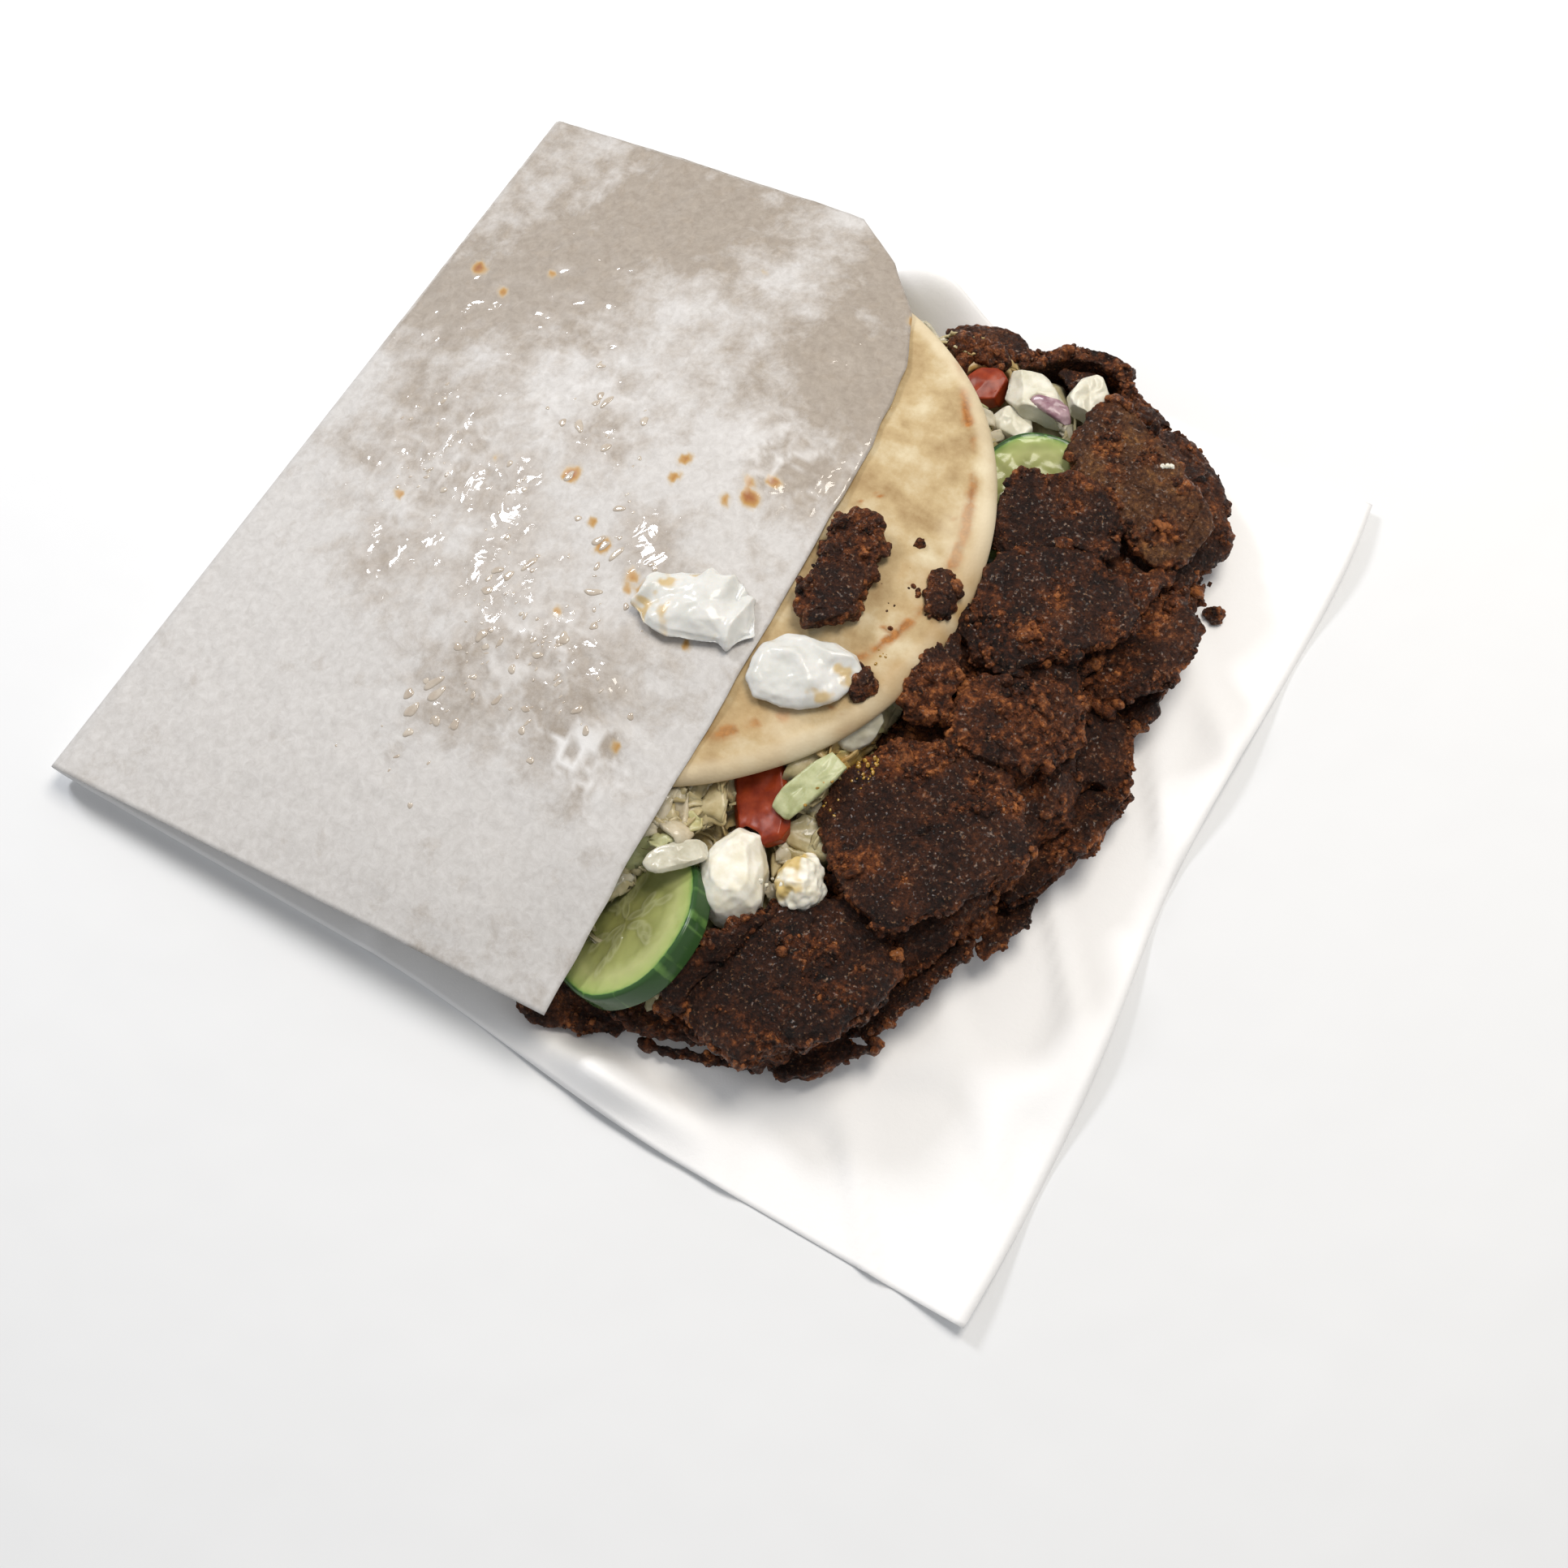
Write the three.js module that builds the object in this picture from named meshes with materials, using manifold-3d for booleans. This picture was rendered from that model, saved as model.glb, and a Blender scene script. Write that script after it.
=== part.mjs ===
// A gyro: a round pita folded over salad and sliced meat, lying in one folded sheet of deli paper.
// Millimetres, +Z up. The bread's fold runs along Y, its mouth opens towards +X, and the sheet's
// underside lies on z = 0. The filling spills out of the mouth over the lower half of the sheet.
import * as THREE from "three";
import { mergeVertices } from "three/addons/utils/BufferGeometryUtils.js";
import Module from "manifold-3d";

const wasm = await Module();
wasm.setup();

// The folded bread
const PITA_RADIUS = 94;
const PITA_THICK = 5.5;
const RIM_THICK = 7;
const STUFFED_HEIGHT = 43; // from the table to the bread's upper face, at the middle of the fold
const END_DROP = 8; // how much lower that face is at the two ends of the fold
const RIM_DROOP = 4;
const DROOP_START = 50; // x where the upper half starts to sink towards its rim
const SPINE_X = 3; // outermost line of the fold
const MIDDLE_Y = 4; // middle of the fold

// The sheet of paper
const PAPER_THICK = 0.8;
const FOLD_X = -130; // outermost line of the sheet's fold
const FOLD_RADIUS = 5.5;
const FLAP_LIFT = 0.5; // between the bread and the flap that lies on it
const FLAP_CREST_X = 12; // where the flap starts down towards its fold
const FLAP_EDGE = [[-150, 43], [-25, 44], [40, 41], [71, 36], [90, 28], [107, 13], [121, -6]]; // y, x
const FLAP_LOW_Y = -149;
const LOW_Y = -156;
const HIGH_Y = 121;
const MARGIN_X = 180; // right margin of the lower half
const MARGIN_LOW_Y = -164;

// What lies on what keeps this much air in between
const AIR = 0.35;
const FLOOR = PAPER_THICK + AIR;

const TURN = 2 * Math.PI;
const { smoothstep, lerp, degToRad } = THREE.MathUtils;

// The same series of numbers from 0 to 1 every time for one seed.
function draws(seed) {
  let state = seed * 7919 + 17;
  return () => {
    state = (state * 1103515245 + 12345) % 2147483648;
    return state / 2147483648;
  };
}

// Straight interpolation in a short list of [place, value] pairs.
function between(pairs, place) {
  const next = pairs.findIndex(([p]) => p >= place);
  if (next < 0) return pairs.at(-1)[1];
  if (next === 0) return pairs[0][1];
  const [[p0, v0], [p1, v1]] = [pairs[next - 1], pairs[next]];
  return lerp(v0, v1, (place - p0) / (p1 - p0));
}

function bump(value, middle, width) {
  return Math.exp(-(((value - middle) / width) ** 2));
}

function geometryOf(points, faces) {
  const geometry = new THREE.BufferGeometry();
  geometry.setAttribute("position", new THREE.Float32BufferAttribute(points.flat(), 3));
  geometry.setIndex(faces.flat());
  return geometry;
}

// A closed slab in rings round a centre: point(fraction, angle, side) is on its upper (1) or lower (-1) face.
function slabGeometry(sides, rings, point) {
  const points = [point(0, 0, 1), point(0, 0, -1)];
  for (const fraction of rings)
    for (const side of [1, -1])
      for (let k = 0; k < sides; k++) points.push(point(fraction, (TURN * k) / sides, side));
  const at = (ring, lower, k) => 2 + (ring * 2 + lower) * sides + (k % sides);
  const last = rings.length - 1;
  const faces = [];
  for (let k = 0; k < sides; k++) {
    faces.push([0, at(0, 0, k), at(0, 0, k + 1)], [1, at(0, 1, k + 1), at(0, 1, k)]);
    for (let ring = 0; ring < last; ring++) {
      const [a, b, c, d] = [at(ring, 0, k), at(ring, 0, k + 1), at(ring + 1, 0, k), at(ring + 1, 0, k + 1)];
      faces.push([a, c, d], [a, d, b]);
      const [e, f, g, h] = [at(ring, 1, k), at(ring, 1, k + 1), at(ring + 1, 1, k), at(ring + 1, 1, k + 1)];
      faces.push([e, h, g], [e, f, h]);
    }
    faces.push([at(last, 0, k), at(last, 1, k), at(last, 1, k + 1)]);
    faces.push([at(last, 0, k), at(last, 1, k + 1), at(last, 0, k + 1)]);
  }
  return geometryOf(points, faces);
}

// A closed thin sheet: middle(row, column) gives its middle surface, half its thickness from either face.
function sheetGeometry(rows, columns, middle, thickness) {
  const grid = [];
  for (let i = 0; i < rows; i++) {
    grid.push([]);
    for (let j = 0; j < columns; j++) grid[i].push(new THREE.Vector3(...middle(i, j)));
  }
  const points = [];
  for (const side of [1, -1])
    for (let i = 0; i < rows; i++)
      for (let j = 0; j < columns; j++) {
        const along = grid[Math.min(i + 1, rows - 1)][j].clone().sub(grid[Math.max(i - 1, 0)][j]);
        const across = grid[i][Math.min(j + 1, columns - 1)].clone().sub(grid[i][Math.max(j - 1, 0)]);
        const normal = across.cross(along).normalize();
        points.push(grid[i][j].clone().addScaledVector(normal, (side * thickness) / 2).toArray());
      }
  const at = (i, j, lower) => lower * rows * columns + i * columns + j;
  const faces = [];
  const quad = (a, b, c, d) => faces.push([a, b, c], [a, c, d]);
  for (let i = 0; i < rows - 1; i++)
    for (let j = 0; j < columns - 1; j++) {
      quad(at(i, j, 0), at(i, j + 1, 0), at(i + 1, j + 1, 0), at(i + 1, j, 0));
      quad(at(i, j, 1), at(i + 1, j, 1), at(i + 1, j + 1, 1), at(i, j + 1, 1));
    }
  for (let i = 0; i < rows - 1; i++) {
    quad(at(i, 0, 0), at(i + 1, 0, 0), at(i + 1, 0, 1), at(i, 0, 1));
    quad(at(i + 1, columns - 1, 0), at(i, columns - 1, 0), at(i, columns - 1, 1), at(i + 1, columns - 1, 1));
  }
  for (let j = 0; j < columns - 1; j++) {
    quad(at(0, j + 1, 0), at(0, j, 0), at(0, j, 1), at(0, j + 1, 1));
    quad(at(rows - 1, j, 0), at(rows - 1, j + 1, 0), at(rows - 1, j + 1, 1), at(rows - 1, j, 1));
  }
  return geometryOf(points, faces);
}

// Height of the folded bread's upper face.
function crest(y) {
  return STUFFED_HEIGHT - END_DROP * ((y - MIDDLE_Y) / PITA_RADIUS) ** 2;
}

function breadTop(x, y) {
  const sunk = RIM_DROOP * (Math.max(x - DROOP_START, 0) / 37) ** 2;
  const dents = 0.7 * Math.sin(0.11 * x + 0.7) * Math.sin(0.09 * y + 1.3);
  return crest(y) - sunk + dents;
}

// The round pita, folded: a flat half below, a bend along the spine, and the half that lies over the filling.
function pitaGeometry(grow) {
  const reach = PITA_RADIUS + grow;
  const point = (fraction, angle, side) => {
    const across = reach * fraction * Math.cos(angle);
    const y = MIDDLE_Y + reach * fraction * Math.sin(angle);
    const rim = smoothstep(fraction, 0.8, 0.93);
    const edge = fraction > 0.97 ? 0.45 : 1;
    const half = (lerp(PITA_THICK, RIM_THICK, rim) * edge) / 2 + grow;
    const low = FLOOR + RIM_THICK / 2;
    const high = crest(y) - PITA_THICK / 2;
    const radius = (high - low) / 2;
    const bend = (Math.PI * radius) / 2; // length of half the bend
    const centre = SPINE_X + PITA_THICK / 2 + radius;
    if (Math.abs(across) < bend) {
      const lean = across / radius;
      const out = radius + side * half;
      return [centre - out * Math.cos(lean), y, low + radius + out * Math.sin(lean)];
    }
    const x = centre + Math.abs(across) - bend;
    if (across < 0) return [x, y, low - side * half];
    return [x, y, breadTop(x, y) - PITA_THICK / 2 + side * half];
  };
  return slabGeometry(40, [0.22, 0.4, 0.58, 0.76, 0.91, 1], point);
}

// The sheet in rows from the flap's free edge, over the fold at the left, to the right margin.
const FLAP_ROWS = 15;
const FOLD_ROWS = 6;
const LOWER_ROWS = 17;
const SHEET_COLUMNS = 14;

function flapHeight(x, y) {
  const start = breadTop(Math.max(x, FLAP_CREST_X), y) + FLAP_LIFT + AIR + PAPER_THICK / 2;
  if (x > FLAP_CREST_X) return start;
  const fall = (FLAP_CREST_X - x) / (FLAP_CREST_X - FOLD_X - FOLD_RADIUS);
  return lerp(start, 2 * FOLD_RADIUS + PAPER_THICK / 2, fall ** 1.2);
}

// The lower half lies flat, but its two ends curl up beside the food and its margin waves a little.
function lowerHeight(x, y) {
  const highCurl = 22 * smoothstep(y, 101, HIGH_Y) * bump(x, 22, 20);
  const lowCurl = 11 * bump(y, -154, 5.5) * bump(x, 62, 22);
  const outside = smoothstep(x, 158, MARGIN_X);
  const wave = 2.2 * outside * (1 + Math.sin(0.07 * y + 0.6));
  return PAPER_THICK / 2 + highCurl + lowCurl + wave;
}

function sheetGeometryFor(grow) {
  const rows = FLAP_ROWS + FOLD_ROWS + LOWER_ROWS;
  const middle = (i, j) => {
    const share = j / (SHEET_COLUMNS - 1);
    if (i < FLAP_ROWS) {
      const back = i / FLAP_ROWS;
      const y = lerp(lerp(FLAP_LOW_Y, LOW_Y, back), HIGH_Y, share);
      const x = lerp(between(FLAP_EDGE, y) + grow * (i === 0), FOLD_X + FOLD_RADIUS, back ** 1.15);
      return [x, y, flapHeight(x, y)];
    }
    if (i < FLAP_ROWS + FOLD_ROWS) {
      const angle = (Math.PI * (i - FLAP_ROWS + 0.5)) / FOLD_ROWS;
      const [x, z] = [FOLD_X + FOLD_RADIUS * (1 - Math.sin(angle)), FOLD_RADIUS * (1 + Math.cos(angle))];
      return [x, lerp(LOW_Y, HIGH_Y, share), PAPER_THICK / 2 + z];
    }
    const forth = (i - FLAP_ROWS - FOLD_ROWS) / (LOWER_ROWS - 1);
    const edge = MARGIN_X + 2.5 * Math.sin(9 * share) + grow;
    const x = lerp(FOLD_X + FOLD_RADIUS, edge, forth);
    const y = lerp(lerp(LOW_Y, MARGIN_LOW_Y, smoothstep(x, -20, 95)), HIGH_Y, share);
    return [x, y, lowerHeight(x, y)];
  };
  return sheetGeometry(rows, SHEET_COLUMNS, middle, PAPER_THICK + 2 * grow);
}

// How far an uneven outline stands out at an angle, as waves of a few counts round it.
function outlineJag(counts, size, draw) {
  const waves = counts.map((count) => {
    const turn = TURN * draw();
    const high = (size * (0.4 + draw())) / Math.sqrt(count);
    return (angle) => high * Math.sin(count * angle + turn);
  });
  return (angle) => waves.reduce((sum, wave) => sum + wave(angle), 1);
}

// An uneven slice: its outline runs from an oval (corners 2) to a rounded oblong (4), leaning or tapering
// to one end, and its middle surface is arched along and across and has lumps.
function sliceGeometry(slice, grow) {
  const { long, wide, thick, seed } = slice;
  const { corners = 2.7, taper = 0, lean = 0, arch = 0, trough = 0, ragged = 0.07, lumps = 0.5 } = slice;
  const { sides = 12, rings = [0.5, 0.9, 1], edge = 0.6 } = slice;
  const draw = draws(seed);
  const jag = outlineJag([2, 3, 5, 7], ragged, draw);
  const [turnX, turnY] = [TURN * draw(), TURN * draw()];
  const power = 2 / corners;
  const [halfLong, halfWide] = [long / 2, wide / 2];
  const signed = (value) => Math.sign(value) * Math.abs(value) ** power;
  const point = (fraction, angle, side) => {
    const u = fraction * signed(Math.cos(angle)) * jag(angle);
    const v = fraction * signed(Math.sin(angle)) * jag(angle);
    const y = v * (halfWide + grow) * (1 - taper * u);
    const x = u * (halfLong + grow) + lean * y;
    const lump = lumps * Math.sin((9 * x) / halfLong + turnX) * Math.sin((7 * y) / halfWide + turnY);
    const middle = arch * (0.5 - u * u) + trough * (v * v - 0.5) + lump;
    const half = (thick / 2) * (fraction > 0.95 ? edge : 1) + grow;
    return [x, y, middle + side * half];
  };
  return slabGeometry(sides, rings, point);
}

// A lump of cheese or sauce: a dome over an uneven outline, with a shallower bulge for its underside.
function lumpGeometry(lump, grow) {
  const { long, wide, thick, seed, foot = 0.2, ragged = 0.1, lumps = 0.6, sides = 13 } = lump;
  const draw = draws(seed);
  const jag = outlineJag([2, 3, 4], ragged, draw);
  const [turnX, turnY] = [TURN * draw(), TURN * draw()];
  const point = (fraction, angle, side) => {
    const x = fraction * Math.cos(angle) * jag(angle) * (long / 2 + grow);
    const y = fraction * Math.sin(angle) * jag(angle) * (wide / 2 + grow);
    const round = Math.sqrt(Math.max(1 - fraction ** 2.6, 0.03));
    const hill = lumps * Math.sin(0.45 * x + turnX) * Math.sin(0.5 * y + turnY) * round;
    if (side > 0) return [x, y, thick * round + hill + grow];
    return [x, y, -thick * foot * round - grow];
  };
  return slabGeometry(sides, [0.45, 0.85, 1], point);
}

function solidOf(geometry, matrix) {
  const bare = new THREE.BufferGeometry();
  bare.setAttribute("position", geometry.getAttribute("position").clone());
  bare.setIndex(geometry.index);
  const world = mergeVertices(bare.applyMatrix4(matrix), 1e-4);
  const vertProperties = new Float32Array(world.getAttribute("position").array);
  const triVerts = new Uint32Array(world.index.array);
  return new wasm.Manifold(new wasm.Mesh({ numProp: 3, vertProperties, triVerts }));
}

function geometryOfSolid(solid) {
  const mesh = solid.getMesh();
  const geometry = new THREE.BufferGeometry();
  const positions = new Float32Array(mesh.numVert * 3);
  for (let k = 0; k < mesh.numVert; k++)
    positions.set(mesh.vertProperties.subarray(k * mesh.numProp, k * mesh.numProp + 3), k * 3);
  geometry.setAttribute("position", new THREE.BufferAttribute(positions, 3));
  geometry.setIndex(new THREE.BufferAttribute(mesh.triVerts, 1));
  return geometry;
}

function placed({ at = [0, 0, 0], roll = 0, pitch = 0, yaw = 0 }) {
  const holder = new THREE.Object3D();
  holder.position.set(...at);
  holder.rotation.set(degToRad(roll), degToRad(pitch), degToRad(yaw), "ZYX");
  holder.updateMatrix();
  return holder;
}

function finish(colour, roughness) {
  return new THREE.MeshStandardMaterial({ color: colour, roughness, metalness: 0 });
}

const materials = {
  paper: finish(0xd1c9c2, 0.55),
  bread: finish(0xd8c39d, 0.8),
  meat: finish(0x442c20, 0.7),
  paleMeat: finish(0x5d412e, 0.7),
  cucumber: finish(0x91935c, 0.35),
  tomato: finish(0x7f4124, 0.3),
  lettuce: finish(0xcbc5b1, 0.4),
  greens: finish(0xb1ae83, 0.4),
  onion: finish(0xb8b09a, 0.3),
  redOnion: finish(0xa48f8e, 0.35),
  cheese: finish(0xe9e6d5, 0.6),
  sauce: finish(0xe3e3de, 0.3),
};

const gyro = new THREE.Group();
const food = new THREE.Group();
gyro.add(food);
const taken = []; // the space of every piece made so far with its air, exact and in rougher, larger form
const SLIVER = 0.08; // what is finer than this is smoothed away after a cut
const ROUGH = 2.4;

function apart(a, b) {
  const [p, q] = [a.boundingBox(), b.boundingBox()];
  return [0, 1, 2].some((k) => p.max[k] < q.min[k] || q.max[k] < p.min[k]);
}

function cutBy(solid, others) {
  return others.reduce((rest, other) => (apart(rest, other) ? rest : rest.subtract(other)), solid);
}

// Adds a piece. Where it would run into an earlier one it gives way, and only its largest body stays.
// A bed gives way to the rougher forms first, so that it takes few facets from its neighbours.
function addPiece(name, material, place, solidWith, isBed = false) {
  const holder = placed(place);
  let solid = solidWith(0, holder.matrix);
  if (isBed) solid = cutBy(solid, taken.map(({ rough }) => rough)).simplify(ROUGH / 2);
  solid = cutBy(solid, taken.map(({ exact }) => exact)).simplify(SLIVER);
  const bodies = solid.decompose().sort((a, b) => b.volume() - a.volume());
  const geometry = geometryOfSolid(bodies[0]).applyMatrix4(holder.matrix.clone().invert());
  const mesh = new THREE.Mesh(geometry, material);
  mesh.name = name;
  mesh.position.copy(holder.position);
  mesh.rotation.copy(holder.rotation);
  food.add(mesh);
  const rough = solidWith(AIR + ROUGH, holder.matrix).simplify(ROUGH);
  taken.push({ exact: solidWith(AIR, holder.matrix), rough });
}

function addShape(name, material, place, geometryWith) {
  addPiece(name, material, place, (grow, matrix) => solidOf(geometryWith(grow), matrix));
}

function addSlice(name, material, slice) {
  addShape(name, material, slice, (grow) => sliceGeometry(slice, grow));
}

function addLump(name, material, lump) {
  addShape(name, material, lump, (grow) => lumpGeometry(lump, grow));
}

addShape("paper", materials.paper, {}, sheetGeometryFor);
addShape("pita", materials.bread, {}, pitaGeometry);

// Sauce and crumbs on top of the sheet and the bread
addLump("tzatziki_on_paper", materials.sauce, {
  at: [24, -32, 44.6], yaw: 17, long: 38, wide: 23, thick: 4, seed: 3,
});
addLump("tzatziki_on_pita", materials.sauce, {
  at: [59, -34, 42.6], yaw: 25, long: 30, wide: 22, thick: 4.5, seed: 8,
});
addSlice("meat_on_pita", materials.meat, {
  at: [54, -1, 46.2], yaw: 96,
  long: 38, wide: 17, thick: 6, taper: 0.25, lean: -0.25, arch: -2, ragged: 0.1, seed: 5,
});
addLump("crumb_1", materials.meat, {
  at: [81, 7, 39.6], yaw: 116, long: 17, wide: 9, thick: 5, seed: 12, sides: 10,
});
addLump("crumb_2", materials.meat, {
  at: [75, -27.5, 39.8], yaw: 110, long: 9, wide: 7, thick: 5, seed: 13, sides: 8,
});
addLump("crumb_3", materials.meat, {
  at: [153, 61, FLOOR], long: 6, wide: 5.5, thick: 5, seed: 14, sides: 8,
});

// Cheese, onion, lettuce, tomato and cucumber that show beside the bread
addLump("feta_1", materials.cheese, {
  at: [69, -91, 23], yaw: 106, long: 31, wide: 19, thick: 13, foot: 0.5, seed: 21,
});
addLump("feta_2", materials.cheese, {
  at: [86, -84, 24], yaw: 100, long: 18, wide: 14, thick: 10, foot: 0.5, seed: 22,
});
addSlice("lettuce_strip", materials.greens, {
  at: [75.5, -59.5, 34], yaw: 70, pitch: -6,
  long: 26, wide: 8, thick: 2, corners: 4, arch: 2, seed: 31, sides: 14,
});
addSlice("tomato_1", materials.tomato, {
  at: [64.5, -67, 27.5], yaw: -58, pitch: 4, roll: 14,
  long: 30, wide: 17, thick: 7, corners: 3, arch: -2, seed: 33,
});
addSlice("tomato_2", materials.tomato, {
  at: [57, 86, 24], yaw: 40, long: 15, wide: 11, thick: 8, corners: 3, seed: 34, sides: 12,
});
addSlice("onion_1", materials.onion, {
  at: [78, -37, 31], yaw: 60, roll: 12, long: 16, wide: 12, thick: 3, trough: -3, seed: 41, sides: 12,
});
addSlice("onion_2", materials.onion, {
  at: [54, -95, 33.5], yaw: 40, roll: -18, long: 19, wide: 9, thick: 1.8, arch: 2, seed: 42, sides: 12,
});
addSlice("red_onion", materials.redOnion, {
  at: [80, 83.5, 33.4], yaw: -10, long: 14, wide: 6, thick: 1.8, arch: 2, seed: 43, sides: 12,
});
addSlice("lettuce_chunk_1", materials.lettuce, {
  at: [74, 86.5, 29], yaw: -14, roll: -8,
  long: 27, wide: 15, thick: 6, corners: 3.2, lean: -0.3, arch: 2, seed: 44,
});
addSlice("lettuce_chunk_2", materials.lettuce, {
  at: [87.5, 94, 30.5], yaw: 80, roll: 10,
  long: 15, wide: 10.5, thick: 6, corners: 4, seed: 45, sides: 12,
});
addSlice("lettuce_chunk_3", materials.lettuce, {
  at: [70.5, 77.5, 26], yaw: -35, long: 17, wide: 11, thick: 5, seed: 46, sides: 12,
});
const cucumber = { corners: 2, ragged: 0.012, lumps: 0, sides: 26, rings: [0.95, 1], edge: 0.86 };
addSlice("cucumber_1", materials.cucumber, {
  ...cucumber, at: [50.5, -115.5, 20.5], pitch: -38, long: 49, wide: 49, thick: 7.5, seed: 51,
});
addSlice("cucumber_2", materials.cucumber, {
  ...cucumber, at: [90, 55, 23.5], yaw: 29, roll: 17, long: 45, wide: 46, thick: 6.5, seed: 52,
});

// The meat from the top of the heap down
const slices = [
  {
    at: [108, 21, 33.5], yaw: 52, pitch: 4,
    long: 53, wide: 36, thick: 5, corners: 3, arch: 3, seed: 61,
  },
  {
    at: [109, -55, 32], yaw: 48, pitch: -4, roll: -8,
    long: 58, wide: 50, thick: 4.5, corners: 3, arch: 3, seed: 62,
  },
  {
    pale: true, at: [115, 73, 31], yaw: -24, pitch: 11,
    long: 51, wide: 29, thick: 4.5, corners: 4, lean: -0.25, arch: 2, seed: 63,
  },
  {
    at: [98, -108, 24], yaw: 60, roll: -9,
    long: 56, wide: 38, thick: 8, ragged: 0.09, arch: 5, lumps: 1.2, seed: 64,
  },
  {
    at: [91, -15, 35.5], yaw: 98, roll: 12,
    long: 31, wide: 12, thick: 4, taper: 0.3, arch: 3, seed: 65,
  },
  {
    at: [117, -15, 32], yaw: 22, pitch: 8,
    long: 38, wide: 27, thick: 6, ragged: 0.09, arch: 3, lumps: 1, seed: 66,
  },
  { at: [108, 1, 27], yaw: 20, long: 38, wide: 22, thick: 9, ragged: 0.1, lumps: 1.2, seed: 67 },
  {
    at: [99, 47, 33.6], yaw: 48, roll: 13, pitch: -3,
    long: 40, wide: 33, thick: 3.8, corners: 2.2, arch: 2, seed: 68,
  },
  {
    at: [135, 31, 18], yaw: 68, roll: -14,
    long: 46, wide: 31, thick: 8, ragged: 0.12, arch: 4, lumps: 1.4, seed: 69,
  },
  {
    at: [124, 58, 20], yaw: -14, pitch: 12,
    long: 36, wide: 22, thick: 5, corners: 3.4, arch: 2, seed: 70,
  },
  {
    at: [125, 86, 15], yaw: -42, roll: -16,
    long: 54, wide: 30, thick: 5, arch: 5, ragged: 0.09, seed: 71,
  },
  {
    at: [140.5, -2, 13], yaw: 108, roll: 20,
    long: 29, wide: 19, thick: 6, ragged: 0.09, arch: 2, seed: 72,
  },
  {
    at: [141, -31.5, 11], yaw: 62, roll: -22,
    long: 52, wide: 24, thick: 5.5, taper: 0.55, arch: 3, seed: 73,
  },
  { at: [79, -112, 23], yaw: 64, roll: 40, long: 40, wide: 19, thick: 4, arch: 2, seed: 74 },
  {
    at: [121, -88, 9.5], yaw: 72, roll: -24,
    long: 46, wide: 24, thick: 4.5, arch: 4, trough: 3, seed: 75,
  },
  {
    at: [45, -134.5, 5.5], yaw: 22, roll: 8,
    long: 42, wide: 25, thick: 5, ragged: 0.09, arch: 1, seed: 76,
  },
  { at: [72, -127, 10], yaw: 20, roll: 10, long: 40, wide: 20, thick: 4.5, seed: 77 },
  {
    at: [50.5, 105, 15.5], yaw: 35, roll: -10,
    long: 25, wide: 20, thick: 6, corners: 3, taper: 0.3, seed: 78,
  },
];
slices.forEach((slice, k) => {
  addSlice(`meat_${String(k + 1).padStart(2, "0")}`, slice.pale ? materials.paleMeat : materials.meat, slice);
});

// A slice on edge, bent round behind the lettuce
const BAND_HEIGHT = 23;
const BAND_THICK = 4.5;
const bandPath = [[62, 100], [76, 112], [89, 114.5], [96, 108], [96.5, 96]];

function bandGeometry(grow) {
  const path = new THREE.SplineCurve(bandPath.map(([x, y]) => new THREE.Vector2(x, y)));
  const steps = 14;
  const half = BAND_THICK / 2 + grow;
  const sides = [[], []];
  for (let k = 0; k <= steps; k++) {
    const [spot, ahead] = [path.getPoint(k / steps), path.getTangent(k / steps)];
    const offset = half * (1 + 0.12 * Math.sin(2.1 * k));
    sides[0].push(new THREE.Vector2(spot.x - ahead.y * offset, spot.y + ahead.x * offset));
    sides[1].unshift(new THREE.Vector2(spot.x + ahead.y * offset, spot.y - ahead.x * offset));
  }
  const outline = new THREE.Shape([...sides[0], ...sides[1]]);
  const band = new THREE.ExtrudeGeometry(outline, { depth: BAND_HEIGHT + 2 * grow, bevelEnabled: false });
  band.deleteAttribute("normal");
  band.deleteAttribute("uv");
  return mergeVertices(band.translate(0, 0, -grow));
}
addShape("meat_band", materials.meat, { at: [0, 0, FLOOR] }, bandGeometry);

// The bed of meat and the bed of salad fill the space between what shows and the lower half of the bread.
function joined(parts) {
  return parts.reduce((whole, part) => whole.add(part));
}

function bedOf(rows, grow) {
  return joined(rows.map((row) => solidOf(sliceGeometry(row, grow), placed(row).matrix)));
}

const bedSides = { sides: 8, rings: [0.75, 1], edge: 0.3, lumps: 0.8 };
const saladBed = [
  { ...bedSides, at: [45, 2, 21.5], yaw: 90, long: 164, wide: 82, thick: 29, corners: 2.6, seed: 81 },
  { ...bedSides, at: [27, 72, 18.5], yaw: 90, long: 50, wide: 38, thick: 24, corners: 3, seed: 85 },
  { ...bedSides, at: [30, -70, 17], yaw: 90, long: 72, wide: 44, thick: 25, corners: 3, seed: 86 },
  { ...bedSides, at: [72, -66, 14], yaw: 96, long: 90, wide: 34, thick: 20, seed: 82 },
  { ...bedSides, at: [72, 76, 14], yaw: 80, long: 56, wide: 42, thick: 20, seed: 83 },
  { ...bedSides, at: [48, 88, 15], yaw: 30, long: 40, wide: 30, thick: 20, corners: 3, seed: 87 },
  { ...bedSides, at: [50, -104, 11], yaw: 96, long: 58, wide: 44, thick: 19, seed: 84 },
];

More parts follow.
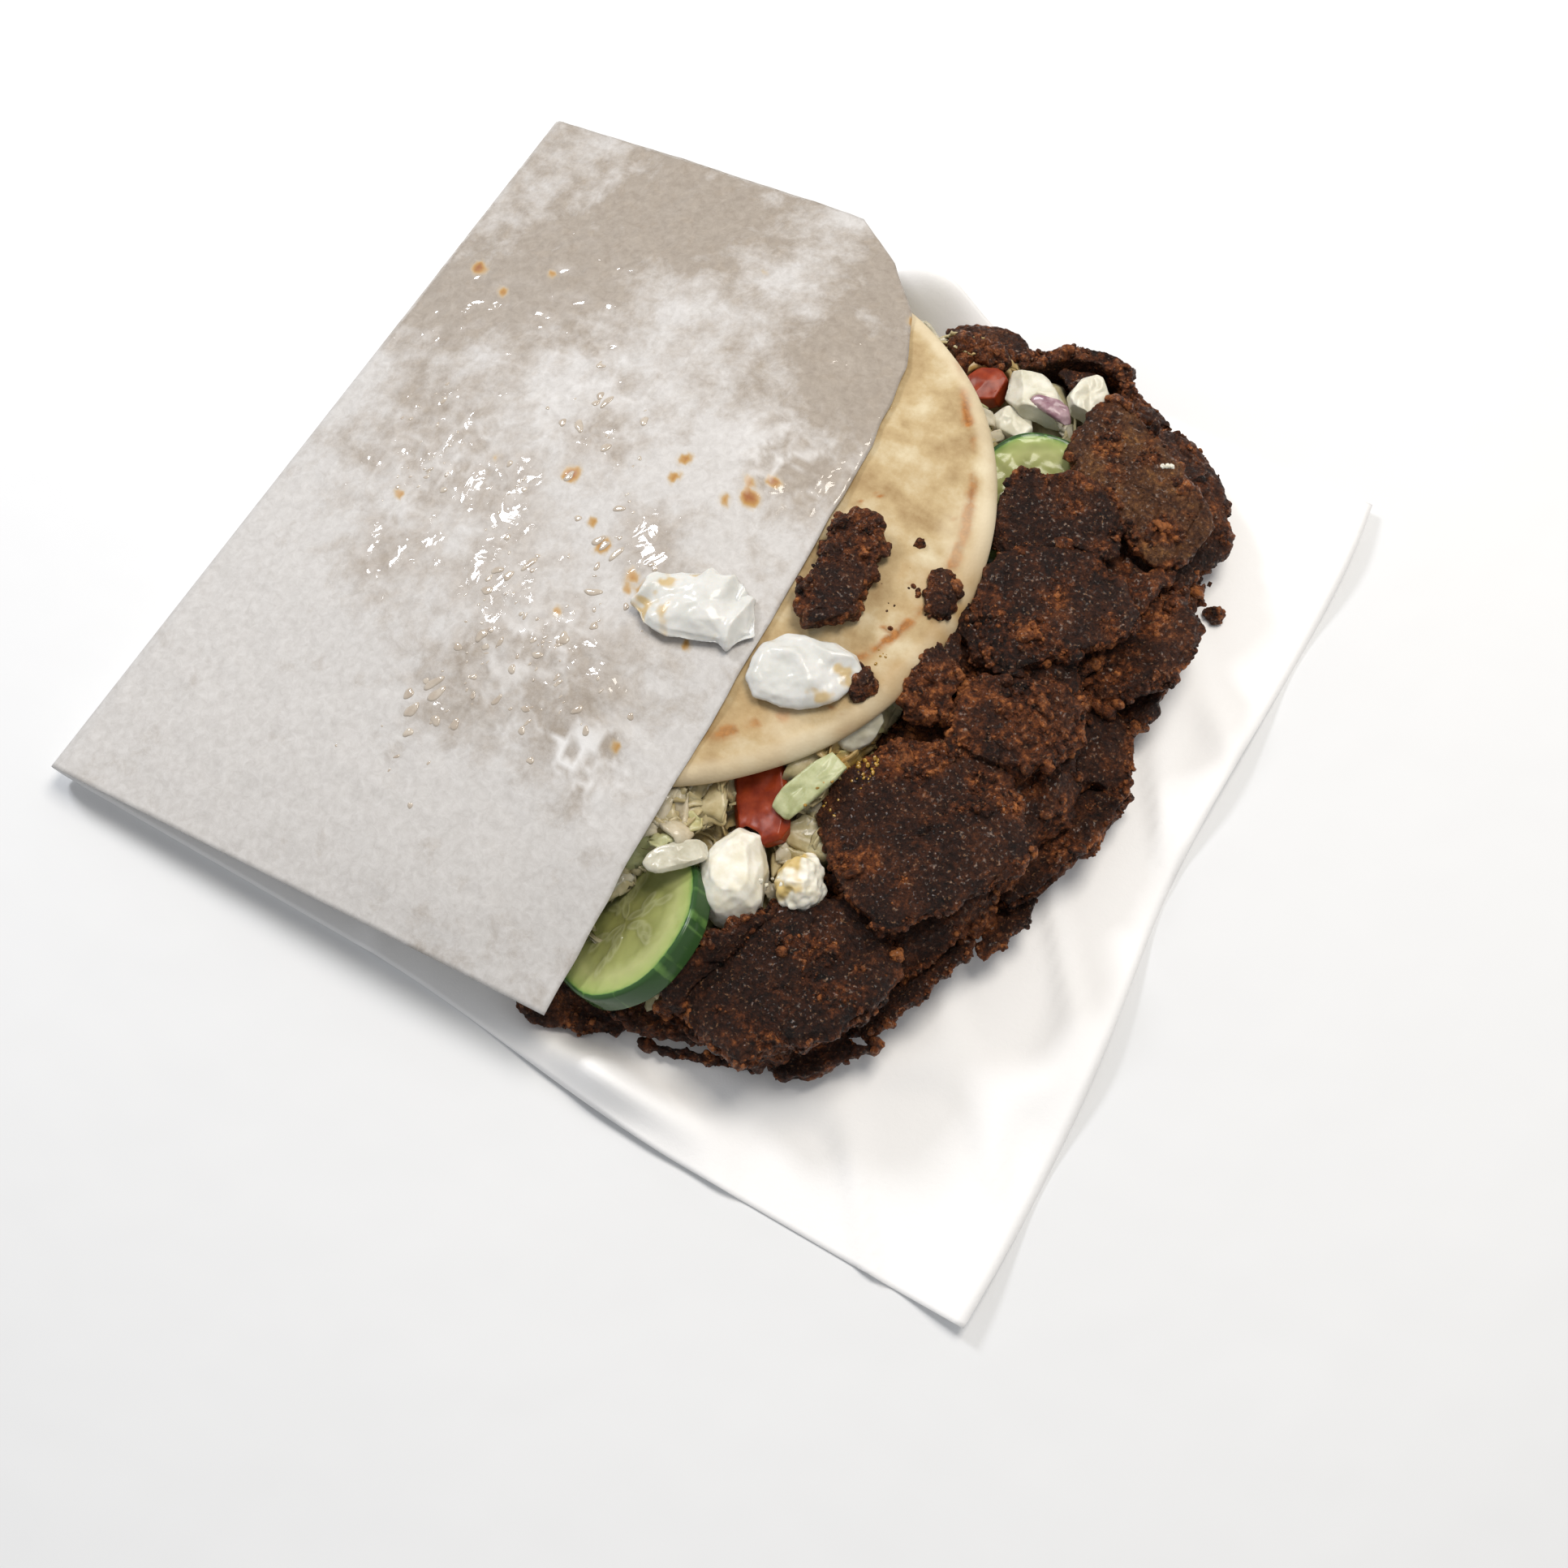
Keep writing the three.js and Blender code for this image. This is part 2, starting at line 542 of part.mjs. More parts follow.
// Shreds of lettuce and onion lie over the salad bed wherever it shows.
function shreds() {
  const draw = draws(90);
  const spots = [[70, -52], [82, -62], [56, -82], [48, -92], [62, -78], [86, -46], [92, 76], [66, 92]];
  spots.push([84, -72], [52, -76]);
  return spots.map(([x, y], k) => ({
    at: [x + 3 * draw(), y + 3 * draw(), 27.5 + 3 * draw()],
    yaw: 360 * draw(),
    pitch: 16 * draw() - 8,
    long: 20 + 8 * draw(),
    wide: 5 + 3 * draw(),
    thick: 2.4,
    arch: 2,
    sides: 8,
    rings: [1],
    edge: 0.8,
    seed: 91 + k,
  }));
}

// The bed of meat is a low core with slices leaning on it all round.
const meatCore = [
  { ...bedSides, at: [112, 34, 14], yaw: 82, long: 92, wide: 62, thick: 25, seed: 101 },
  { ...bedSides, at: [116, 82, 9.5], yaw: -40, long: 62, wide: 40, thick: 15, seed: 102 },
  { ...bedSides, at: [114, -26, 14], yaw: 80, long: 76, wide: 60, thick: 25, seed: 103 },
  { ...bedSides, at: [112, -64, 13], yaw: 66, long: 62, wide: 52, thick: 22, seed: 104 },
  { ...bedSides, at: [94, -104, 11], yaw: 62, long: 62, wide: 48, thick: 19, seed: 105 },
];
const rimSlice = { sides: 9, rings: [1], edge: 0.7, thick: 5, ragged: 0.1, lumps: 0.8, arch: 2 };
const meatRim = [
  { ...rimSlice, at: [138, 70, 7], yaw: 80, roll: -26, long: 40, wide: 22, seed: 111 },
  { ...rimSlice, at: [141, 20, 8], yaw: 92, roll: -30, long: 44, wide: 24, seed: 112 },
  { ...rimSlice, at: [139, -14, 7], yaw: 80, roll: -24, long: 36, wide: 24, seed: 113 },
  { ...rimSlice, at: [133, -62, 7], yaw: 66, roll: -26, long: 42, wide: 24, seed: 114 },
  { ...rimSlice, at: [113, -112, 6], yaw: 50, roll: -22, long: 40, wide: 24, seed: 115 },
  { ...rimSlice, at: [78, -128, 6], yaw: 14, roll: 16, long: 44, wide: 24, seed: 116 },
  { ...rimSlice, at: [104, 102, 9], yaw: -16, roll: -14, long: 36, wide: 24, thick: 12, seed: 117 },
  { ...rimSlice, at: [62, 100, 8], yaw: 20, roll: -10, long: 46, wide: 24, thick: 9, seed: 118 },
  { ...rimSlice, at: [46, -126, 5], yaw: 26, roll: 4, long: 46, wide: 24, thick: 6, seed: 119 },
  { ...rimSlice, at: [90, 90, 8], yaw: 60, roll: 6, long: 46, wide: 26, thick: 12, seed: 120 },
  { ...rimSlice, at: [81, 101, 13], yaw: 20, long: 38, wide: 26, thick: 22, corners: 3, seed: 121 },
];

addPiece("salad", materials.lettuce, {}, (grow) => bedOf([...saladBed, ...shreds()], grow), true);
addPiece("meat_bed", materials.meat, {}, (grow) => bedOf([...meatCore, ...meatRim], grow), true);

// The origin moves to the middle of the underside of everything.
const box = new THREE.Box3().setFromObject(gyro, true);
food.position.set(-(box.min.x + box.max.x) / 2, -(box.min.y + box.max.y) / 2, -box.min.z);
gyro.updateMatrixWorld(true);

export default gyro;
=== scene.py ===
# A gyro in its folded sheet of deli paper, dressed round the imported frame. Metres, +Z up.
# Shapes are worked out in millimetres where the bread's and the sheet's own formulas hold, and then
# moved to the frame by toFrame.
import math

import bmesh
import bpy
import numpy as np
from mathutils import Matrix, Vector
from mathutils.bvhtree import BVHTree


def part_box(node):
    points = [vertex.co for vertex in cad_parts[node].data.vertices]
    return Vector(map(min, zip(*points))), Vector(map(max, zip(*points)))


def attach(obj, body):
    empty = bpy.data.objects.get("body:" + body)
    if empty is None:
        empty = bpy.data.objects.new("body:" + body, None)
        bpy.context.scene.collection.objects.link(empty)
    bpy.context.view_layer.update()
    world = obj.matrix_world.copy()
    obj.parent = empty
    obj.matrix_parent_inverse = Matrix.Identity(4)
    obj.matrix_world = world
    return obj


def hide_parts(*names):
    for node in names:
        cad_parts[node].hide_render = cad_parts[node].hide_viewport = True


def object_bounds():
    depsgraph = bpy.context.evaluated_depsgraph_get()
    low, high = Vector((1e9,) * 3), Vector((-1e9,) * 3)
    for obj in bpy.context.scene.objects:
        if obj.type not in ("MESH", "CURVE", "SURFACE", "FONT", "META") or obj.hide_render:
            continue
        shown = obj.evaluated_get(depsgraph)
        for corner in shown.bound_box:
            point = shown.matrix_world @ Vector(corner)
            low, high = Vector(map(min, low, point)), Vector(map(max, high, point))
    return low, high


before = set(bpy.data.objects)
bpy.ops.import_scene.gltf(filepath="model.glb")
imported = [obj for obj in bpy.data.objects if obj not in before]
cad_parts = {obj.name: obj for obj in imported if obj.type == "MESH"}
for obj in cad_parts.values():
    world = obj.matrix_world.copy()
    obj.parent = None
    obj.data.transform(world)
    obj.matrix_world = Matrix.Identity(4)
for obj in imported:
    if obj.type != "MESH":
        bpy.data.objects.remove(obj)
cadBox = [list(corner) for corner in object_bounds()]
scene = bpy.context.scene
scene.view_settings.view_transform = "Standard"
mm = 0.001
turn = 2 * math.pi
print("frame loaded:", len(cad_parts), "nodes")

# Camera: the photograph looks down steeply from the low right corner of the sheet
cameraSet = {
    "place": (123.6, -159.1, 424.1),  # mm in the frame
    "target": (52.3, -30.5, 20.0),
    "lens": 34.3,
    "shift": -0.031,  # leaves room for the sheet's left corner
}
camera = bpy.data.objects.new("camera", bpy.data.cameras.new("camera"))
scene.collection.objects.link(camera)
camera.location = Vector(cameraSet["place"]) * mm
aim = Vector(cameraSet["target"]) * mm - camera.location
camera.rotation_euler = aim.to_track_quat("-Z", "Y").to_euler()
camera.data.lens = cameraSet["lens"]
camera.data.shift_x = cameraSet["shift"]
camera.data.clip_start = 0.01
scene.camera = camera


# Small helpers
def smooth(value, low, high):
    share = np.clip((value - low) / (high - low), 0, 1)
    return share * share * (3 - 2 * share)


def hill(value, middle, width):
    return np.exp(-(((value - middle) / width) ** 2))


def mixed(a, b, share):
    return a + (b - a) * share


# A whole number for each cell of a lattice: well mixed, and the same for the same cell
def scrambled(cells):
    steps = np.array([374761393, 668265263, 1440662683])[: cells.shape[-1]]
    key = (cells * steps).sum(-1) & 0x7FFFFFFF
    return ((key ^ (key >> 13)) * 1274126177) & 0x7FFFFFFF


# Random heights from -1 to 1 on a lattice, smoothed between: the same for the same place and seed
def noise(points, size, seed=0):
    cell = np.asarray(points, float) / size + 31.7 * seed
    corner = np.floor(cell).astype(np.int64)
    part = cell - corner
    part = part * part * (3 - 2 * part)
    total = np.zeros(cell.shape[:-1])
    for step in np.ndindex((2,) * cell.shape[-1]):
        key = scrambled(corner + step)
        height = ((key ^ (key >> 15)) & 65535) / 32767.5 - 1
        total += height * np.prod(np.where(np.array(step) == 1, part, 1 - part), axis=-1)
    return total


def layered(points, size, layers, seed=0):  # noise with finer, lower noise on it
    return sum(noise(points, size / 2**k, seed + k) / 2**k for k in range(layers))


# Rounded grains: 1 at the middle of each, falling to 0 between them
def grains(points, size, seed=0):
    cell = np.asarray(points, float) / size + 17.3 * seed
    corner = np.floor(cell).astype(np.int64)
    nearest = np.full(cell.shape[:-1], 9.0)
    for step in np.ndindex((3, 3, 3)):
        spot = corner + np.array(step) - 1
        key = scrambled(spot)
        inside = np.stack([(key >> shift & 255) / 255 for shift in (3, 11, 19)], -1)
        nearest = np.minimum(nearest, ((spot + inside - cell) ** 2).sum(-1))
    return np.clip(1 - np.sqrt(nearest), 0, 1)


def newPiece(name, points, faces):
    mesh = bpy.data.meshes.new(name)
    mesh.from_pydata(np.asarray(points, float).tolist(), [], [list(map(int, face)) for face in faces])
    mesh.shade_smooth()
    piece = bpy.data.objects.new(name, mesh)
    scene.collection.objects.link(piece)
    return piece


def pointsOf(mesh):
    values = np.empty(len(mesh.vertices) * 3)
    mesh.vertices.foreach_get("co", values)
    return values.reshape(-1, 3)


def normalsOf(mesh):
    values = np.empty(len(mesh.vertices) * 3)
    mesh.vertex_normals.foreach_get("vector", values)
    return values.reshape(-1, 3)


def setPoints(mesh, points):
    mesh.vertices.foreach_set("co", np.asarray(points, float).ravel())
    mesh.update()


# A number for each vertex that a material reads by its name
def paint(piece, name, values):
    layer = piece.data.attributes.new(name, "FLOAT", "POINT")
    layer.data.foreach_set("value", np.clip(np.asarray(values, float), 0, 1).ravel())


# The finish of a piece and the imported nodes that it stands for; every piece rides on the root body, and
# slot is not used
def dress(piece, material, slot, *nodes):
    piece.data.materials.clear()
    piece.data.materials.append(material)
    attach(piece, "root")
    if nodes:
        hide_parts(*nodes)
    return piece


def joined(pieces):  # the points and faces of several pieces, as one list of each
    points = []
    faces = []
    for piece in pieces:
        start = len(points)
        points.extend(tuple(vertex.co) for vertex in piece.data.vertices)
        faces.extend([start + k for k in polygon.vertices] for polygon in piece.data.polygons)
    return points, faces


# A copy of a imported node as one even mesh, with its facets worn soft
def softCopy(node, voxel, rounds):
    rough = newPiece(node + "_fine", *joined([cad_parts[node]]))
    weld = rough.modifiers.new("weld", "WELD")
    weld.merge_threshold = 0.01 * mm
    even = rough.modifiers.new("even", "REMESH")
    even.mode = "VOXEL"
    even.voxel_size = voxel * mm
    even.use_smooth_shade = True
    soft = rough.modifiers.new("soft", "SMOOTH")
    soft.factor = 0.5
    soft.iterations = rounds
    evaluated = rough.evaluated_get(bpy.context.evaluated_depsgraph_get())
    finished = bpy.data.meshes.new_from_object(evaluated)
    rough.modifiers.clear()
    rough.data = finished
    finished.name = rough.name
    return rough


# Pushes each point out along its normal by so many millimetres
def push(piece, height):
    mesh = piece.data
    setPoints(mesh, pointsOf(mesh) + normalsOf(mesh) * (np.asarray(height) * mm)[..., None])


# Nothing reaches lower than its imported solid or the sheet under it, or stands far above the solids
def keepBetween(piece, level):
    points = pointsOf(piece.data)
    points[:, 2] = np.clip(points[:, 2], level, 1.028 * cadBox[1][2])
    setPoints(piece.data, points)


# Faces of a disc with an upper and a lower side: points 0 and 1 are the middles, then ring by ring
def discFaces(rings, sides):
    index = 2 + np.arange(rings * sides).reshape(rings, sides)
    ahead = np.roll(index, -1, axis=1)
    lower = rings * sides
    quads = np.stack([index[:-1], index[1:], ahead[1:], ahead[:-1]], -1).reshape(-1, 4)
    faces = quads.tolist() + (quads[:, ::-1] + lower).tolist()
    faces += np.stack([index[-1], index[-1] + lower, ahead[-1] + lower, ahead[-1]], -1).tolist()
    faces += [[0, a, b] for a, b in zip(index[0], ahead[0])]
    faces += [[1, b + lower, a + lower] for a, b in zip(index[0], ahead[0])]
    return faces


# A closed thin sheet from the points of its middle surface, in rows and columns
def sheetPiece(name, middle, thickness):
    rows, columns = middle.shape[:2]
    normal = np.cross(np.gradient(middle, axis=1), np.gradient(middle, axis=0))
    normal /= np.linalg.norm(normal, axis=-1, keepdims=True) + 1e-12
    half = normal * np.broadcast_to(thickness, (rows, columns))[..., None] / 2
    points = np.concatenate([(middle + half).reshape(-1, 3), (middle - half).reshape(-1, 3)])
    index = np.arange(rows * columns).reshape(rows, columns)
    under = index + rows * columns
    a, b, c, d = index[:-1, :-1], index[:-1, 1:], index[1:, 1:], index[1:, :-1]
    quads = [np.stack([a, b, c, d], -1).reshape(-1, 4)]
    quads.append(np.stack([a, d, c, b], -1).reshape(-1, 4) + rows * columns)
    for edge, below in ((index[:, 0], under[:, 0]), (index[::-1, -1], under[::-1, -1])):
        quads.append(np.stack([edge[:-1], edge[1:], below[1:], below[:-1]], -1))
    for edge, below in ((index[0, ::-1], under[0, ::-1]), (index[-1], under[-1])):
        quads.append(np.stack([edge[:-1], edge[1:], below[1:], below[:-1]], -1))
    return newPiece(name, points, np.concatenate(quads))


# Materials
def hexColour(text):  # sRGB as in a picture, to the linear values that shaders take
    parts = [int(text[k : k + 2], 16) / 255 for k in (1, 3, 5)]
    return [c / 12.92 if c <= 0.04045 else ((c + 0.055) / 1.055) ** 2.4 for c in parts] + [1.0]


# Adds a node with its settings, its stops if it is a ramp, and its inputs by name or number
def addNode(tree, kind, inputs, stops=(), **settings):
    node = tree.nodes.new("ShaderNode" + kind)
    for name, value in settings.items():
        setattr(node, name, value)
    for k, (place, colour) in enumerate(stops):
        element = node.color_ramp.elements[k] if k < 2 else node.color_ramp.elements.new(place)
        element.position = place
        element.color = hexColour(colour)
    for name, value in inputs.items():
        if isinstance(value, bpy.types.NodeSocket):
            tree.links.new(value, node.inputs[name])
        else:
            node.inputs[name].default_value = value
    return node


def perMetre(size):  # noise scale for features of so many millimetres
    return 1 / (size * mm)


# A fresh material with its tree, its place in the object and its surface shader
def newMaterial(name, **surface):
    material = bpy.data.materials.new(name)
    material.use_nodes = True
    tree = material.node_tree
    shader = tree.nodes["Principled BSDF"]
    for setting, value in surface.items():
        shader.inputs[setting.replace("_", " ")].default_value = value
    place = addNode(tree, "TexCoord", {}).outputs["Object"]
    return material, tree, shader, place


def deliPaper():
    # Thin greaseproof paper: matt and lilac white where dry, beige, glassy and glinting where oil soaked in
    surface = {"IOR": 1.45, "Coat_Roughness": 0.05, "Coat_IOR": 1.5}
    material, tree, shader, place = newMaterial("deliPaper", **surface)
    oily, cleanAndLit, stain, crease = [
        addNode(tree, "Attribute", {}, attribute_name=name).outputs["Fac"]
        for name in ("oily", "cleanAndLit", "stain", "crease")
    ]
    patterns = {
        "blotch": {"Scale": perMetre(9), "Detail": 12.0, "Roughness": 0.72, "Distortion": 0.3},
        "fibres": {"Scale": perMetre(2.6), "Detail": 6.0, "Roughness": 0.7, "Distortion": 0.5},
        "puddle": {"Scale": perMetre(6), "Detail": 4.0, "Roughness": 0.55, "Distortion": 0.6},
        "dimple": {"Scale": perMetre(9), "Detail": 2.0, "Roughness": 0.5, "Distortion": 0.6},
    }
    blotch, fibres, puddle, dimple = [
        addNode(tree, "TexNoise", {"Vector": place, **values}).outputs["Fac"] for values in patterns.values()
    ]
    # The oil share also holds painted shade over the flap's upper part and left side
    soaked = addNode(tree, "Math", {0: oily, 1: blotch}, operation="ADD").outputs[0]
    share = addNode(tree, "MapRange", {"Value": soaked, "From Min": 0.72, "From Max": 1.12}).outputs[0]
    body, wet, amber = [
        addNode(tree, "ValToRGB", {"Fac": height}, stops=stops).outputs[0]
        for height, stops in (
            (fibres, ((0.3, "#bab6b2"), (0.66, "#cdcac7"))),
            (fibres, ((0.28, "#918578"), (0.72, "#aba093"))),
            (stain, ((0.12, "#bba98c"), (0.95, "#94551c"), (0.5, "#b08546"))),
        )
    ]
    seen = addNode(tree, "MapRange", {"Value": stain, "From Max": 0.3}).outputs[0]
    # The lower sheet is painted near white; the flap's dry paper is painted greyer, partly as painted shade
    layers = ((share, wet), (cleanAndLit, hexColour("#faf9f8")), (seen, amber), (crease, hexColour("#ecebea")))
    for amount, colour in layers:
        colours = {"Factor": amount, "A": body, "B": colour}
        body = addNode(tree, "Mix", colours, data_type="RGBA").outputs["Result"]
    tree.links.new(body, shader.inputs["Base Color"])
    shine = addNode(tree, "MapRange", {"Value": share, "To Min": 0.62, "To Max": 0.36})
    tree.links.new(shine.outputs[0], shader.inputs["Roughness"])
    depth = addNode(tree, "Math", {0: puddle, 1: share}, operation="MULTIPLY").outputs[0]
    film = addNode(tree, "MapRange", {"Value": depth, "From Min": 0.36, "From Max": 0.44}).outputs[0]
    tree.links.new(film, shader.inputs["Coat Weight"])
    swell = addNode(tree, "Bump", {"Height": dimple, "Strength": 1.0, "Distance": 1.1 * mm}).outputs[0]
    tree.links.new(swell, shader.inputs["Coat Normal"])
    relief = addNode(tree, "Bump", {"Height": fibres, "Strength": 0.5, "Distance": 0.2 * mm}).outputs[0]
    tree.links.new(relief, shader.inputs["Normal"])
    return material


def bakedBread():
    # Soft wheat flatbread: matt, cream with faint brown cloud, paler at the rim, toasted where it met the
    # griddle, darker at its low part as painted shade
    material, tree, shader, place = newMaterial("bakedBread", IOR=1.45)
    toast, paler, oil = [
        addNode(tree, "Attribute", {}, attribute_name=name).outputs["Fac"]
        for name in ("toast", "paler", "oily")
    ]
    patterns = {
        "cloud": {"Scale": perMetre(14), "Detail": 7.0, "Roughness": 0.6},
        "fine": {"Scale": perMetre(2.2), "Detail": 5.0, "Roughness": 0.7},
        "pores": {"Scale": perMetre(0.9), "Detail": 3.0},
    }
    cloud, fine, pores = [
        addNode(tree, "TexNoise", {"Vector": place, **values}).outputs["Fac"] for values in patterns.values()
    ]
    cream = ((0.28, "#93744a"), (0.7, "#d8cbab"), (0.5, "#bda67c"))
    body = addNode(tree, "ValToRGB", {"Fac": cloud}, stops=cream).outputs[0]
    brown = ((0.35, "#84501e"), (0.65, "#b2763a"))
    scorched = addNode(tree, "ValToRGB", {"Fac": fine}, stops=brown).outputs[0]
    uneven = addNode(tree, "MapRange", {"Value": fine, "From Min": 0.35, "From Max": 0.65}).outputs[0]
    inputs = {0: toast, 1: uneven, 2: toast}
    marked = addNode(tree, "Math", inputs, operation="MULTIPLY_ADD", use_clamp=True).outputs[0]
    # The oil layer also paints shade on the bread's low part
    for amount, colour in ((marked, scorched), (paler, hexColour("#ded0b2")), (oil, hexColour("#a98348"))):
        colours = {"Factor": amount, "A": body, "B": colour}
        body = addNode(tree, "Mix", colours, data_type="RGBA").outputs["Result"]
    tree.links.new(body, shader.inputs["Base Color"])
    sheen = addNode(tree, "MapRange", {"Value": oil, "To Min": 0.78, "To Max": 0.28}).outputs[0]
    tree.links.new(sheen, shader.inputs["Roughness"])
    relief = addNode(tree, "Bump", {"Height": pores, "Strength": 0.3, "Distance": 0.3 * mm}).outputs[0]
    tree.links.new(relief, shader.inputs["Normal"])
    return material


def griddledMeat(name, flat, torn):
    # Spit-roast minced meat fried on a griddle: a fine fatty grain all over, seared nearly black on the
    # flat faces and orange-brown where it is torn, with tiny light specks, partly fat and partly painted
    # glints, and wet specks that glint
    surface = {"IOR": 1.4, "Specular_IOR_Level": 0.38, "Coat_Roughness": 0.2, "Coat_IOR": 1.4}
    material, tree, shader, place = newMaterial(name, **surface)
    toneAndShade, loose = [
        addNode(tree, "Attribute", {}, attribute_name=name).outputs["Fac"] for name in ("toneAndShade", "loose")
    ]
    patterns = {
        "mince": {"Scale": perMetre(1.7), "Detail": 8.0, "Roughness": 0.8, "Distortion": 0.4},
        "drift": {"Scale": perMetre(16), "Detail": 3.0, "Roughness": 0.55},
        "patch": {"Scale": perMetre(7), "Detail": 4.0, "Roughness": 0.6},
        "specks": {"Scale": perMetre(1.1), "Detail": 1.5, "Roughness": 0.6},
    }
    mince, drift, patch, specks = [
        addNode(tree, "TexNoise", {"Vector": place, **values}).outputs["Fac"] for values in patterns.values()
    ]
    # Each noise is centred on 0 and given its strength
    level, broad, lean = [
        addNode(tree, "Math", {0: cloud, 1: strength, 2: -strength / 2}, operation="MULTIPLY_ADD").outputs[0]
        for cloud, strength in ((mince, 2.3), (drift, 0.9), (patch, 2.2))
    ]
    # The tone's darker pits and lighter grain tops are partly painted shade and light
    height = addNode(tree, "Math", {0: toneAndShade, 1: level}, operation="ADD").outputs[0]
    height = addNode(tree, "Math", {0: height, 1: broad}, operation="ADD").outputs[0]
    crust = addNode(tree, "ValToRGB", {"Fac": height}, stops=flat).outputs[0]
    ragged = addNode(tree, "ValToRGB", {"Fac": height}, stops=torn).outputs[0]
    share = addNode(tree, "Math", {0: loose, 1: lean}, operation="ADD", use_clamp=True).outputs[0]
    # From the grain's height: how much light speck shows (fat and painted glint), how rough and how wet it is
    fatAndGlints, gloss, wet = [
        addNode(tree, "MapRange", {"Value": specks, **ends}).outputs[0]
        for ends in (
            {"From Min": 0.62, "From Max": 0.72, "To Max": 0.6},
            {"From Min": 0.45, "From Max": 0.66, "To Min": 0.6, "To Max": 0.16},
            {"From Min": 0.53, "From Max": 0.63, "To Max": 0.32},
        )
    ]
    colours = {"Factor": share, "A": crust, "B": ragged}
    body = addNode(tree, "Mix", colours, data_type="RGBA").outputs["Result"]
    # Light specks: partly fat, partly painted glints
    colours = {"Factor": fatAndGlints, "A": body, "B": hexColour("#987050")}
    body = addNode(tree, "Mix", colours, data_type="RGBA").outputs["Result"]
    tree.links.new(body, shader.inputs["Base Color"])
    tree.links.new(gloss, shader.inputs["Roughness"])
    tree.links.new(wet, shader.inputs["Coat Weight"])
    bead = addNode(tree, "Math", {0: mince, 1: 1.0, 2: specks}, operation="MULTIPLY_ADD").outputs[0]
    relief = addNode(tree, "Bump", {"Height": bead, "Strength": 1.0, "Distance": 1.0 * mm}).outputs[0]
    tree.links.new(relief, shader.inputs["Normal"])
    return material


def moistFood(name, low, high, size, stain="#b98a2e", **surface):
    # Moist food of two close tones: the eye sees soft cloud under a wet shine, yellow where oil lies on it
    material, tree, shader, place = newMaterial(name, Subsurface_Scale=1.5 * mm, **surface)
    shader.inputs["Subsurface Radius"].default_value = (1.0, 0.75, 0.55)
    cloud = {"Vector": place, "Scale": perMetre(size), "Detail": 5.0, "Roughness": 0.6}
    cloud = addNode(tree, "TexNoise", cloud).outputs["Fac"]
    body = addNode(tree, "ValToRGB", {"Fac": cloud}, stops=((0.35, low), (0.65, high))).outputs[0]
    oily = addNode(tree, "Attribute", {}, attribute_name="oily").outputs["Fac"]
    colours = {"Factor": oily, "A": body, "B": hexColour(stain)}
    body = addNode(tree, "Mix", colours, data_type="RGBA").outputs["Result"]
    tree.links.new(body, shader.inputs["Base Color"])
    relief = addNode(tree, "Bump", {"Height": cloud, "Strength": 0.25, "Distance": 0.06 * size * mm})
    tree.links.new(relief.outputs[0], shader.inputs["Normal"])
    return material


def cucumberFlesh():
    # Cut cucumber: pale watery flesh round a yellower seed core, bottle-green skin outside
    material, tree, shader, place = newMaterial("cucumberFlesh", Roughness=0.16, IOR=1.36)
    shader.inputs["Subsurface Weight"].default_value = 0.06
    shader.inputs["Subsurface Radius"].default_value = (0.002, 0.003, 0.001)
    ring, seed, gel = [
        addNode(tree, "Attribute", {}, attribute_name=name).outputs["Fac"] for name in ("ring", "seed", "gel")
    ]
    cloud = {"Vector": place, "Scale": perMetre(3), "Detail": 4.0}
    cloud = addNode(tree, "TexNoise", cloud).outputs["Fac"]
    shift = addNode(tree, "Math", {0: cloud, 1: 0.08, 2: -0.04}, operation="MULTIPLY_ADD").outputs[0]
    where = addNode(tree, "Math", {0: ring, 1: shift}, operation="ADD").outputs[0]
    coreToSkin = (
        (0.0, "#8d8d52"), (0.5, "#989c60"), (0.66, "#aeb276"), (0.8, "#a3b06a"), (0.86, "#7f9c52"),
        (0.9, "#668b48"), (0.96, "#33512a"),
    )
    body = addNode(tree, "ValToRGB", {"Fac": where}, stops=coreToSkin).outputs[0]
    for amount, colour in ((gel, "#787a45"), (seed, "#d0cfae")):
        colours = {"Factor": amount, "A": body, "B": hexColour(colour)}
        body = addNode(tree, "Mix", colours, data_type="RGBA").outputs["Result"]
    tree.links.new(body, shader.inputs["Base Color"])
    relief = addNode(tree, "Bump", {"Height": cloud, "Strength": 0.3, "Distance": 0.2 * mm})
    tree.links.new(relief.outputs[0], shader.inputs["Normal"])
    return material


darkCrust = ((0.05, "#0d0603"), (0.95, "#834e2e"), (0.4, "#2b150b"), (0.68, "#482715"))
paleCrust = ((0.05, "#1c0f08"), (0.95, "#a0703f"), (0.4, "#4c2d1a"), (0.68, "#6c4729"))
tornCrumb = ((0.05, "#120703"), (0.95, "#b8713c"), (0.4, "#45220f"), (0.68, "#753f1e"))
finishes = {
    "paper": deliPaper(),
    "bread": bakedBread(),
    "meat": griddledMeat("griddledMeat", darkCrust, tornCrumb),
    "paleMeat": griddledMeat("paleGriddledMeat", paleCrust, tornCrumb),
    "cucumber": cucumberFlesh(),
}
